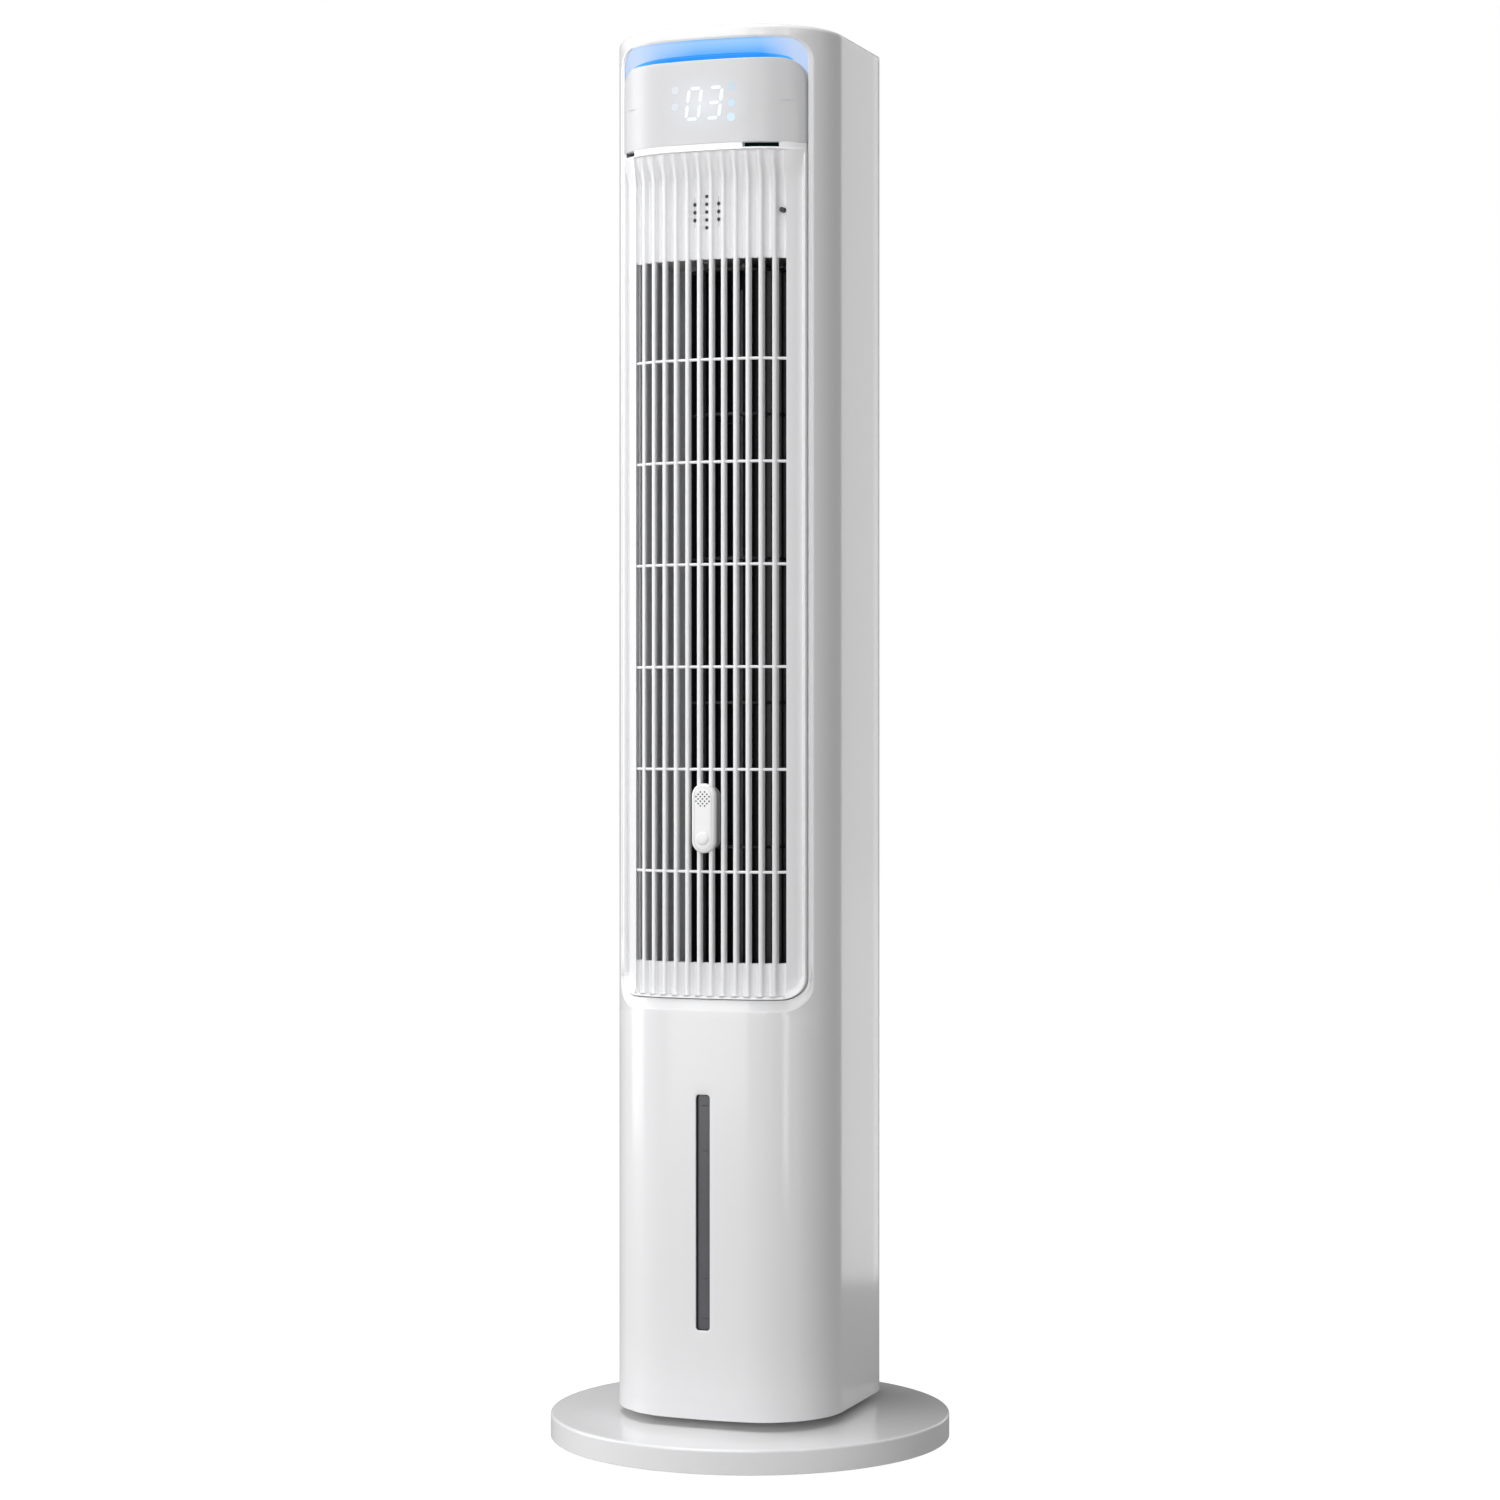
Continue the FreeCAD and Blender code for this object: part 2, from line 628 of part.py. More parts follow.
# ---- the top: panel, keys and boards -----------------------------------------------------

KEY_NAMES = ("power_key", "speed_key", "mode_key", "timer_key", "swing_key")


def key_x(index):
    return f"({index} - (key_count - 1) / 2) * key_pitch"


def make_top_panel():
    solids = [whole_slab("(rim_width + 0.3)", "ledge_high", "ledge_high + 3.5")]
    for side in ("-58", "58"):
        for row in ("key_row - 12", "key_row + 12"):
            solids.append(upright(side, row, ("ledge_high - 9.4", "ledge_high + 1"), "3"))
    tools = []
    for index in range(len(KEY_NAMES)):
        tools.append(upright(key_x(index), "key_row", ("ledge_high - 1", "key_top + 1"),
                             "key_radius + moving_gap"))
    node("top_panel", cut(join(solids), tools))


def make_keys():
    """Round keys with a retaining flange under the panel and a stem above their switch."""
    for index, name in enumerate(KEY_NAMES):
        key = turned(name, [
            ("0", "key_top - 10"), ("2.5", "key_top - 10"), ("2.5", "key_top - 6.8"),
            ("key_radius + 1.5", "key_top - 6.8"), ("key_radius + 1.5", "key_top - 5.1"),
            ("key_radius", "key_top - 5.1"), ("key_radius", "key_top - 0.8", "0.8", "left"),
            ("key_radius - 0.8", "key_top"), ("0", "key_top"),
        ])
        node(name, place(key, key_x(index), "key_row", "0"))


def make_key_board():
    board_top = "ledge_high - 9.4"
    solids = [box(("-62", "62"), ("key_row - 16", "key_row + 16"), (f"{board_top} - 1.6", board_top))]
    for index in range(len(KEY_NAMES)):
        ends = (f"{key_x(index)} - 3", f"{key_x(index)} + 3")
        solids.append(box(ends, ("key_row - 3", "key_row + 3"), (f"{board_top} - 0.5", f"key_top - 10.2 - key_travel")))
    node("key_board", join(solids))


def make_control_board():
    """The power board with its transformer, relay and two capacitors."""
    face = "30"
    solids = [
        box(("-60", "60"), (face, f"{face} + 1.6"), ("deck_top + 74", "ledge_low - 20")),
        box(("-52", "-17"), (f"{face} - 25", f"{face} + 0.5"), ("deck_top + 84", "deck_top + 112")),
        box(("28", "46"), (f"{face} - 13", f"{face} + 0.5"), ("deck_top + 92", "deck_top + 108")),
        level("0", (f"{face} - 20", f"{face} + 0.5"), "deck_top + 90", "6"),
        level("0", (f"{face} - 20", f"{face} + 0.5"), "deck_top + 108", "6"),
    ]
    node("control_board", join(solids))


# ---- the front: display, light, grille, window -------------------------------------------

def make_display_panel():
    block = front_block("panel_half", "display_low", "display_high", "1.5", "opening_corner")
    node("display_panel", front_layer(block, "panel_inset", "(panel_inset + wall)", "display_low", "display_high"))


DIGIT_BARS = {  # the bars of a digit: side from -1 to 1 and height from -1 to 1, lying or standing
    "top": (0, 1, True), "upper_left": (-1, 0.5, False), "upper_right": (1, 0.5, False),
    "middle": (0, 0, True), "lower_left": (-1, -0.5, False), "lower_right": (1, -0.5, False),
    "bottom": (0, -1, True),
}


def make_display_board():
    """The board behind the display with two digits of seven bars and five round lamps."""
    front = "front_line + 5.6"
    solids = [box(("-32", "32"), (front, f"{front} + 1.6"), ("display_low + 8", "display_high - 8"))]
    middle = number("(display_low + display_high) / 2")
    for centre in (-8.5, 8.5):
        for side, height, lying in DIGIT_BARS.values():
            half_x, half_z = (4, 1) if lying else (1, 5)
            x = centre + side * 5.5
            z = middle + height * 12.5
            solids.append(box((x - half_x, x + half_x), (f"{front} - 1.5", f"{front} + 0.5"),
                              (z - half_z, z + half_z)))
    for x, z in ((22, 11), (22, 0), (22, -11), (-22, 8), (-22, -4)):
        solids.append(level(f"{x}", (f"{front} - 1.5", f"{front} + 0.5"), f"{middle + z}", "2.5"))
    node("display_board", join(solids))


def make_light():
    strip = front_block("strip_half", "display_high + 0.3", "strip_high", "0.5", "1.5")
    node("light_strip", front_layer(strip, "0.9", "4", "display_high", "strip_high"))
    back = front_block("panel_half + 0.6", "display_high + 0.3", "recess_high - 0.3", "1", "opening_corner - 1")
    node("light_reflector", front_layer(back, "5", "7", "display_high", "recess_high"))


def make_front_grille():
    """One moulding: a curved plate with slots, ribs, blind ends, cross bars and a socket."""
    outer = "panel_inset"
    inner = "(panel_inset + grille_depth)"
    block = front_block("panel_half", "grille_low", "grille_high", "opening_corner", "1.5")
    plate = front_layer(block, outer, inner, "grille_low", "grille_high")
    slots = []
    valleys = []
    for index in range(int(number("slot_count"))):
        centre = f"({index} - (slot_count - 1) / 2) * slot_pitch"
        ends = (f"{centre} - slot_width / 2", f"{centre} + slot_width / 2")
        slots.append(box(ends, ("front_line - 5", "-60"), ("slot_low", "slot_high")))
        valleys.append(box(ends, ("front_line - 5", "-60"), ("valley_low", "valley_high")))
    deep = front_slab("valley_depth", "grille_low", "grille_high", "0")
    ribbed = cut(plate, [cut(join(valleys), [deep])] + slots)
    bars = []
    for index in range(int(number("bar_count"))):
        height = f"(bar_low + {index} * bar_pitch)"
        bars.append(box(("-duct_half", "duct_half"), ("front_line - 5", "-60"),
                        (f"{height} - bar_height / 2", f"{height} + bar_height / 2")))
    bar_layer = cut(front_slab("(valley_depth - 1.6)", "grille_low", "grille_high", "0"),
                    [front_slab("(valley_depth + 1.6)", "grille_low - 1", "grille_high + 1", "5")])
    crossed = common(join(bars), bar_layer)
    socket_low = "capsule_level - socket_rise"
    socket_high = "capsule_level + socket_rise"
    rim = front_block("socket_half + socket_wall", f"{socket_low} - socket_wall", f"{socket_high} + socket_wall",
                      "socket_half", "socket_half")
    rim_layer = front_layer(rim, outer, inner, socket_low + " - 3", socket_high + " + 3")
    hole = front_block("socket_half", socket_low, socket_high, "socket_half - 0.1", "socket_half - 0.1")
    sounds = []
    for column, count in ((-1, 3), (0, 5), (1, 3)):
        for row in range(count):
            sounds.append(level(f"{column} * slot_pitch", ("front_line - 5", "-60"),
                                f"sound_level + ({row} - {count - 1} / 2) * sound_pitch", "sound_hole"))
    eye = level("6 * slot_pitch", ("front_line - 5", "-60"), "sound_level", "eye_hole")
    node("front_grille", cut(join([ribbed, crossed, rim_layer]), [hole, eye] + sounds))


def make_speaker_and_eye():
    back = "front_line + panel_inset + grille_depth"
    cone = level("0", (f"{back} + 0.8", f"{back} + 6"), "sound_level", "15")
    magnet = level("0", (f"{back} + 6", f"{back} + 13"), "sound_level", "9")
    node("speaker", join([cone, magnet]))
    node("remote_receiver", level("6 * slot_pitch", ("-87", "-78"), "sound_level", "eye_hole - 0.1"))


def make_water_window():
    """A clear lens in the slot with a thin flange glued behind the casing."""
    seat = "front_line + wall + 0.15"
    lens = prism("XZ_Plane", rounded_corners("window_half - 0.15", "window_low + 0.15", "window_high - 0.15",
                                             "window_corner", "window_corner"), f"-({seat})", "1.8")
    flange = prism("XZ_Plane", rounded_corners("window_half + 3.5", "window_low - 4", "window_high + 4",
                                               "window_corner", "window_corner"), f"-({seat} + 1.5)", "1.5")
    node("water_window", join([lens, flange]))


def stadium_block(half, rise, near, length):
    """A block with round ends about the capsule's centre."""
    corners = rounded_corners(half, f"capsule_level - {rise}", f"capsule_level + {rise}",
                              f"({half} - 0.05)", f"({half} - 0.05)")
    return prism("XZ_Plane", corners, near, length)


def make_scent_capsule():
    """A pull-out capsule: a pierced cover, a tray behind it and a felt pad in the tray."""
    face = "front_line"
    cover = stadium_block("capsule_half", "capsule_rise", f"-({face})", "capsule_proud")
    holes = []
    for x, z in ((0, 0), (0, 3), (0, -3), (0, 6), (0, -6), (3, 1.5), (3, -1.5), (-3, 1.5), (-3, -1.5)):
        holes.append(level(f"{x}", (f"{face} - 5", f"{face} + 1"), f"capsule_level + 15.5 + {z}", "0.8"))
    dimple = document.addObject("Part::Sphere", "dimple")
    bind(dimple, "Radius", "9")
    place(dimple, "0", f"{face} - capsule_proud - 7.8", "capsule_level - 15.5")
    node("capsule_cover", cut(cover, holes + [dimple]))
    tray = stadium_block("socket_half - moving_gap", "(socket_rise - moving_gap)", "-capsule_back",
                         f"capsule_back - ({face})")
    room = box(("-5", "5"), (f"{face} - 1", f"{face} + 15"), ("capsule_level - 16", "capsule_level + 22"))
    back = box(("-5", "5"), (f"{face} + 2", "capsule_back + 1"), ("capsule_level - 10", "capsule_level + 10"))
    node("capsule_tray", cut(tray, [room, back]))
    node("scent_pad", box(("-4.8", "4.8"), (f"{face} + 2", f"{face} + 8"),
                          ("capsule_level - 15.8", "capsule_level + 21.8")))


# ---- the water tank ----------------------------------------------------------------------

def tank_outline(inset):
    """A drawer's plan: square at the back, with large round corners at the front."""
    half = f"(tank_half - {inset})"
    bend = f"(tank_corner - {inset})"
    front = f"(tank_front + {inset})"
    return [
        (half, f"tank_back - {inset}"), (half, f"{front} + {bend}", bend, "right"),
        (f"{half} - {bend}", front), (f"-({half} - {bend})", front, bend, "right"),
        (f"-{half}", f"{front} + {bend}"), (f"-{half}", f"tank_back - {inset}"),
    ]


def make_water_tank():
    body = new_body("water_tank")
    outer = new_sketch(body, "XY_Plane", "shelf_top + door_gap")
    draw_outline(outer, tank_outline("0"))
    pad(body, outer, "tank_top - shelf_top - door_gap")
    inner = new_sketch(body, "XY_Plane", "tank_top")
    draw_outline(inner, tank_outline("tank_wall"))
    pocket(body, inner, False, "tank_top - shelf_top - door_gap - tank_wall")
    drain = new_sketch(body, "XZ_Plane")
    draw_circle(drain, "drain_side", "drain_level", "drain_radius + running_gap")
    pocket(body, drain, False)
    node("water_tank", body)


def make_tank_door():
    """The drawer's back plate with a slot for the fingers above the tank's edge."""
    body = new_body("tank_door")
    plate = new_sketch(body, "XZ_Plane", "-rear_line")
    draw_outline(plate, rounded_corners("tank_half + 0.5", "shelf_top + door_gap", "door_top", "3", "3"))
    pad(body, plate, "rear_line - tank_back")
    grip = new_sketch(body, "XZ_Plane")
    draw_outline(grip, rounded_corners("grip_half", "grip_low", "grip_high", "8", "8"))
    pocket(body, grip, False)
    drain = new_sketch(body, "XZ_Plane")
    draw_circle(drain, "drain_side", "drain_level", "drain_radius + running_gap")
    pocket(body, drain, False)
    node("tank_door", body)


def make_drain_plug():
    shank = level("drain_side", ("tank_back - 5", "rear_line + 0.4"), "drain_level", "drain_radius")
    knob = level("drain_side", ("rear_line + 0.4", "rear_line + 4"), "drain_level", "drain_radius + 3")
    node("drain_plug", join([shank, knob]))


def make_pump():
    low = "shelf_top + door_gap + tank_wall"
    case = box(("30", "58"), ("48", "78"), (low, f"{low} + 38"))
    node("water_pump", case)
    riser = upright("pipe_side", "pipe_line", (f"{low} + 38", "tank_top + 3.5"), "pipe_radius + 1")
    bore = upright("pipe_side", "pipe_line", (f"{low} + 37", "tank_top + 5"), "pipe_bore")
    node("riser_tube", cut(riser, [bore]))


def make_tank_shelf():
    plate = whole_slab("(wall + shell_gap)", "shelf_low", "shelf_top")
    guides = []
    for x in (("tank_half + 1", "tank_half + 4"), ("-tank_half - 4", "-tank_half - 1")):
        guides.append(box(x, ("-60", "74"), ("shelf_top", "shelf_top + 13")))
    node("tank_shelf", join([plate] + guides))


# ---- the air path ------------------------------------------------------------------------

def make_duct_plates():
    floor = whole_slab("(wall + shell_gap)", "duct_low", "duct_floor_top")
    pipe_hole = upright("pipe_outer", "pipe_line", ("duct_low - 1", "duct_floor_top + 1"), "pipe_radius + 0.3")
    node("duct_floor", cut(floor, [pipe_hole]))
    inner = "(panel_inset + grille_depth + 0.7)"
    reach = "half_width - wall - shell_gap"
    deck = join([front_slab(inner, "deck_low", "deck_top", "side_end - 7"),
                 box((f"-({reach})", reach), ("-30", "side_end - 7"), ("deck_low", "deck_top"))])
    holes = [upright("fan_side", "fan_line", ("deck_low - 1", "deck_top + 1"), "shaft_radius + 3")]
    for index in range(4):
        holes.append(upright(*fan_screw_place(index), ("deck_low - 1", "deck_top + 1"), "screw_radius + 0.2"))
    node("motor_deck", cut(deck, holes))


def fan_screw_place(index):
    x, y = around("(fan_motor_radius - 6)", 4, index, 45)
    return f"fan_side + {x}", f"fan_line + {y}"


def make_duct_walls():
    """The left wall bends round behind the impeller, the right wall ends close to it."""
    left = [
        ("-duct_half", "duct_front"), ("-duct_half", "fan_line + 3", "46", "right"), ("-14", "18"),
        ("-14", "16", "44", "left"), ("-duct_half + 2", "fan_line + 3"), ("-duct_half + 2", "duct_front"),
    ]
    right = [
        ("duct_half - 2", "duct_front"), ("duct_half - 2", "-62"), ("51.5", "-48"), ("53.5", "-47"),
        ("duct_half", "-61"), ("duct_half", "duct_front"),
    ]
    for label, corners in (("duct_left", left), ("duct_right", right)):
        node(label, prism("XY_Plane", corners, "duct_floor_top", "deck_low - duct_floor_top"))


def blade_face(level_z):
    """The curved section of one blade near the rim of the impeller."""
    radius = number("fan_radius")
    inner = Vector(radius - 10, 0, level_z)
    outer = Vector(radius - 0.3, 4.5, level_z)
    middle = Vector(radius - 4.2, 0.7, level_z)
    thin = Vector(-0.35, 1.1, 0)
    first = Part.Arc(inner, middle, outer).toShape()
    back = Part.Arc(outer + thin, middle + thin, inner + thin).toShape()
    ends = [Part.makeLine(outer, outer + thin), Part.makeLine(inner + thin, inner)]
    return Part.Face(Part.Wire([first, ends[0], back, ends[1]]))


def make_impeller():
    """A drum of curved blades between discs, with hubs on the shaft at both ends."""
    low = number("fan_low")
    high = number("fan_high")
    radius = number("fan_radius")
    count = int(number("fan_blades"))
    blade = blade_face(low + 1).extrude(Vector(0, 0, high - low - 2))
    solids = []
    for index in range(count):
        copy = blade.copy()
        copy.rotate(Vector(), Vector(0, 0, 1), 360 * index / count)
        solids.append(copy)
    spacing = (high - low - 2) / 5
    for index in range(6):
        disc = Part.makeCylinder(radius, 2, Vector(0, 0, low + index * spacing))
        if 0 < index < 5:
            disc = disc.cut(Part.makeCylinder(radius - 12, 2, Vector(0, 0, low + index * spacing)))
        solids.append(disc)
    for hub_low in (low, high - 12):
        solids.append(Part.makeCylinder(10, 12, Vector(0, 0, hub_low)))
    shape = solids[0].multiFuse(solids[1:])
    bore = Part.makeCylinder(number("shaft_radius"), high - low + 2, Vector(0, 0, low - 1))
    centre = FreeCAD.Placement(Vector(number("fan_side"), number("fan_line"), 0), Turn())
    node("impeller", solid(shape.cut(bore), centre))
    node("impeller_shaft", upright("fan_side", "fan_line", ("duct_floor_top + 3.5", "fan_motor_top - 12"),
                                   "shaft_radius"))


def make_bearing():
    axis = ("fan_side", "fan_line")
    cup = upright(*axis, ("duct_floor_top", "duct_floor_top + 13"), "15")
    foot = upright(*axis, ("duct_floor_top", "duct_floor_top + 2.5"), "24")
    seat = upright(*axis, ("duct_floor_top + 2.5", "duct_floor_top + 14"), "11")
    node("bearing_holder", cut(join([cup, foot]), [seat]))
    outer = upright(*axis, ("duct_floor_top + 4", "duct_floor_top + 12"), "11")
    bore = upright(*axis, ("duct_floor_top + 3", "duct_floor_top + 13"), "shaft_radius + running_gap")
    node("lower_bearing", cut(outer, [bore]))


def make_fan_motor():
    axis = ("fan_side", "fan_line")
    solids = [upright(*axis, ("deck_top + 4", "fan_motor_top"), "fan_motor_radius")]
    solids.append(upright(*axis, ("fan_motor_top", "fan_motor_top + 4"), "fan_motor_radius / 2"))
    tools = [upright(*axis, ("deck_top", "fan_motor_top - 8"), "shaft_radius + running_gap")]
    for index in range(4):
        place_xy = fan_screw_place(index)
        solids.append(upright(*place_xy, ("deck_top", "deck_top + 4.5"), "5"))
        tools.append(upright(*place_xy, ("deck_top - 1", "deck_top + 12"), "screw_hole"))
    node("fan_motor", cut(join(solids), tools))


def make_motor_screws():
    pieces = []
    for index in range(4):
        pieces.append(screw_up(*fan_screw_place(index), "deck_low", "deck_top + 10"))
    for side in ("-stepper_ear", "stepper_ear"):
        head = upright(side, STEPPER_Y, ("post_top + 1", "post_top + 2.8"), "screw_head")
        pieces.append(join([head, upright(side, STEPPER_Y, ("post_top - 8", "post_top + 1"), "screw_radius")]))
    node("motor_screws", join(pieces))


def make_cooling_pad():
    node("cooling_pad", box(("-pad_half", "pad_half"), ("pad_front", "pad_back"), ("pad_low", "pad_high")))
    frame = box(("-pad_half - 3", "pad_half + 3"), ("pad_front - 1.5", "pad_back + 1.5"),
                ("pad_low - 3", "pad_high + 3"))
    room = box(("-pad_half", "pad_half"), ("pad_front", "pad_back"), ("pad_low", "pad_high"))
    way = box(("-pad_half + 4", "pad_half - 4"), ("pad_front - 3", "pad_back + 3"), ("pad_low + 4", "pad_high - 4"))
    node("pad_frame", cut(frame, [room, way]))


def make_water_tray():
    """A trough above the pad, with a row of drip holes in its floor."""
    trough = box(("-tray_half", "tray_half"), ("pad_front - 1", "pad_back"), ("tray_low", "tray_high"))
    room = box(("-tray_half + 2", "tray_half - 2"), ("pad_front + 1", "pad_back - 2"),
               ("tray_low + 2", "tray_high + 1"))
    drips = []
    for index in range(9):
        drips.append(upright(f"({index} - 4) * 12", "(pad_front + pad_back) / 2", ("tray_low - 1", "tray_low + 3"), "1.5"))
    node("water_tray", cut(trough, [room] + drips))


def bent_path(points, bend):
    """Straight runs joined by tangent arcs of one radius."""
    edges = []
    start = points[0]
    for index in range(1, len(points) - 1):
        corner = points[index]
        back = (points[index - 1] - corner).normalize()
        ahead = (points[index + 1] - corner).normalize()
        first = corner + back * bend
        last = corner + ahead * bend
        middle = corner + (back + ahead) * bend - (back + ahead).normalize() * bend
        edges.append(Part.makeLine(start, first))
        edges.append(Part.Arc(first, middle, last).toShape())
        start = last
    edges.append(Part.makeLine(start, points[-1]))
    return Part.Wire(edges)


def make_water_hose():
    """The pipe from the tank's riser, up beside the pad and down into the tray."""
    y = number("pipe_line")
    side = number("pipe_side")
    outer = number("pipe_outer")
    foot = number("tank_top") + 4
    bend = 10
    points = [Vector(side, y, foot), Vector(side, y, foot + 13), Vector(outer, y, foot + 13),
              Vector(outer, y, number("tray_high") + 14.5), Vector(side - 5, y, number("tray_high") + 14.5),
              Vector(side - 5, y, number("tray_low") + 8)]
    path = bent_path(points, bend)
    tubes = []
    for radius in (number("pipe_radius"), number("pipe_bore")):
        ring_edge = Part.Wire(Part.makeCircle(radius, points[0], Vector(0, 0, 1)))
        tubes.append(path.makePipeShell([ring_edge], True, False))
    shape = tubes[0].cut(tubes[1])
    area = math.pi * (number("pipe_radius") ** 2 - number("pipe_bore") ** 2)
    if abs(shape.Volume / (area * path.Length) - 1) > 0.02:
        raise RuntimeError("the hose has the wrong volume")
    node("water_hose", solid(shape))


def make_filter():
    """A louvred frame at the back with a mesh behind it.  Its full-round lower edge is its hinge."""
    inner = "(rear_line - 5)"
    outer = "(rear_line - 0.4)"
    edge = f"(({outer} - {inner}) / 2)"
    frame = prism("YZ_Plane", [
        (outer, "filter_high"), (inner, "filter_high"), (inner, f"filter_low + {edge}", edge, "left"),
        (f"{inner} + {edge}", "filter_low", edge, "left"), (outer, f"filter_low + {edge}"),
    ], "-filter_half", "2 * filter_half")
    windows = []
    row = "((filter_high - filter_low - 12) / filter_rows)"
    for index in range(int(number("filter_rows"))):
        low = f"filter_low + 8 + {index} * {row}"
        for x in (("-filter_half + 8", "-17"), ("-14", "14"), ("17", "filter_half - 8")):
            windows.append(box(x, ("rear_line - 6", "rear_line + 1"), (low, f"{low} + {row} - 4")))
    node("filter_frame", cut(frame, windows))
    node("filter_mesh", box(("-filter_half + 2", "filter_half - 2"), ("rear_line - 6.5", "rear_line - 5"),
                            ("filter_low + 3", "filter_high - 3")))


def make_handle_cup():
    cup = box(("-grip_cup_half", "grip_cup_half"), ("64", "rear_line - wall - 0.1"), ("grip_cup_low", "grip_cup_high"))
    room = box(("-grip_cup_half + 2", "grip_cup_half - 2"), ("66", "rear_line"),
               ("grip_cup_low + 2", "grip_cup_high - 2"))
    node("handle_cup", cut(cup, [room]))


def make_power_inlet():
    """A two-pin appliance inlet with a flange inside the shell."""
    case = box(("inlet_side - 11", "inlet_side + 11"), ("rear_line - 14", "rear_line - 0.4"),
               ("inlet_level - 6", "inlet_level + 6"))
    flange = box(("inlet_side - 15", "inlet_side + 15"), ("rear_line - 5", "rear_line - wall - 0.1"),
                 ("inlet_level - 9", "inlet_level + 9"))
    socket = box(("inlet_side - 8", "inlet_side + 8"), ("rear_line - 12", "rear_line"),
                 ("inlet_level - 4.2", "inlet_level + 4.2"))
    pins = []
    for side in ("inlet_side - 5", "inlet_side + 5"):
        pins.append(level(side, ("rear_line - 13", "rear_line - 4"), "inlet_level", "1.2"))
    node("power_inlet", join([cut(join([case, flange]), [socket])] + pins))


# ---- build, check, write -----------------------------------------------------------------

MAKERS = [
    make_rubber_feet, make_base_plate, make_base_weight, make_base_cover, make_base_screws,
    make_pivot_post, make_lower_race, make_ball_ring, make_fixed_gear, make_post_clip,
    make_swing_pinion, make_swing_motor, make_tower_floor, make_front_casing, make_rear_casing,
    make_casing_screws, make_top_panel, make_keys, make_key_board, make_control_board,
    make_display_panel, make_display_board, make_light, make_front_grille, make_speaker_and_eye,
    make_water_window, make_scent_capsule, make_water_tank, make_tank_door, make_drain_plug,
    make_pump, make_tank_shelf, make_duct_plates, make_duct_walls, make_impeller, make_bearing,
    make_fan_motor, make_motor_screws, make_cooling_pad, make_water_tray, make_water_hose,
    make_filter, make_handle_cup, make_power_inlet,
]


def check_document():
    """Every object has to be up to date, and every sub-part a valid shape."""
    for item in document.Objects:
        if "Invalid" in item.State or "Error" in item.State:
            raise RuntimeError(f"{item.Name} ({item.Label}) did not recompute")
    for piece in nodes:
        if piece.Shape.isNull() or not piece.Shape.isValid() or not piece.Shape.Solids:
            raise RuntimeError(f"{piece.Label} has no valid solid")


def write_parts():
    os.makedirs("parts", exist_ok=True)
    for piece in nodes:
        piece.Shape.exportStep(f"parts/{piece.Label}.step")


def main():
    fill_sheet()
    for maker in MAKERS:
        maker()
    document.recompute()
    check_document()
    write_parts()
    print(len(nodes), "sub-parts")


main()
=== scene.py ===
import json
import math

import bpy
import numpy as np
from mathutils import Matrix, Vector


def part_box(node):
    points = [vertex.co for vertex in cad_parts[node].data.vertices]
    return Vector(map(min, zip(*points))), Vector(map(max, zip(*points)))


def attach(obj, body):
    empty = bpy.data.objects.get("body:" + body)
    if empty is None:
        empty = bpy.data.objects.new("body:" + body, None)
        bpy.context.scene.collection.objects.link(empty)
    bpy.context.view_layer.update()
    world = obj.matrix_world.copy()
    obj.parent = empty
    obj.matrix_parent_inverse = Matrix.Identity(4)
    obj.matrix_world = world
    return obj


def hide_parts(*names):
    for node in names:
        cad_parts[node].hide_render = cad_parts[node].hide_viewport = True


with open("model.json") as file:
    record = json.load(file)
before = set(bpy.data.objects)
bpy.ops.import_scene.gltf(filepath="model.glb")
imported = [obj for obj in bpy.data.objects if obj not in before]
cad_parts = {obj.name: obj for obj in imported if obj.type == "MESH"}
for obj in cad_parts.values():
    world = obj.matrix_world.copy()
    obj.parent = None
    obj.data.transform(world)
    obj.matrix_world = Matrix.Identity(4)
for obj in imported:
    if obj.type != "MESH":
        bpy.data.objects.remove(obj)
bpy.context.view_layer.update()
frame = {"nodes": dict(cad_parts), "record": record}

bl_info = {
    "name": "Tower cooler",
    "version": (1, 0, 0),
    "blender": (4, 5, 0),
    "location": "3D View > Sidebar > Tower cooler",
    "description": "Shapes and finishes of a tower fan with a water cooler",
    "category": "Add Mesh",
}

MM = 0.001

# Lengths below are in millimetres unless their comment says metres.
LOWER_LIP = 3.0             # how far the front shell hangs below the node it stands for
BOTTOM_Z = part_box("front_casing")[0].z / MM - LOWER_LIP
TOP_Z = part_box("front_casing")[1].z / MM
COLUMN_REACH = 58.0         # half the width over which upright loops share their columns

FINISHES = {}               # this file's own materials by name


# ---- sizes and colours -------------------------------------------------------------------

def length(name, description, millimetres):
    """A property that holds a length in metres, given here in millimetres."""
    return bpy.props.FloatProperty(name=name, description=description,
                                   default=millimetres * MM, unit="LENGTH", precision=5)


def colour(name, description, red, green, blue):
    """A property that holds a colour."""
    return bpy.props.FloatVectorProperty(name=name, description=description, subtype="COLOR",
                                         size=3, min=0, max=1, default=(red, green, blue))


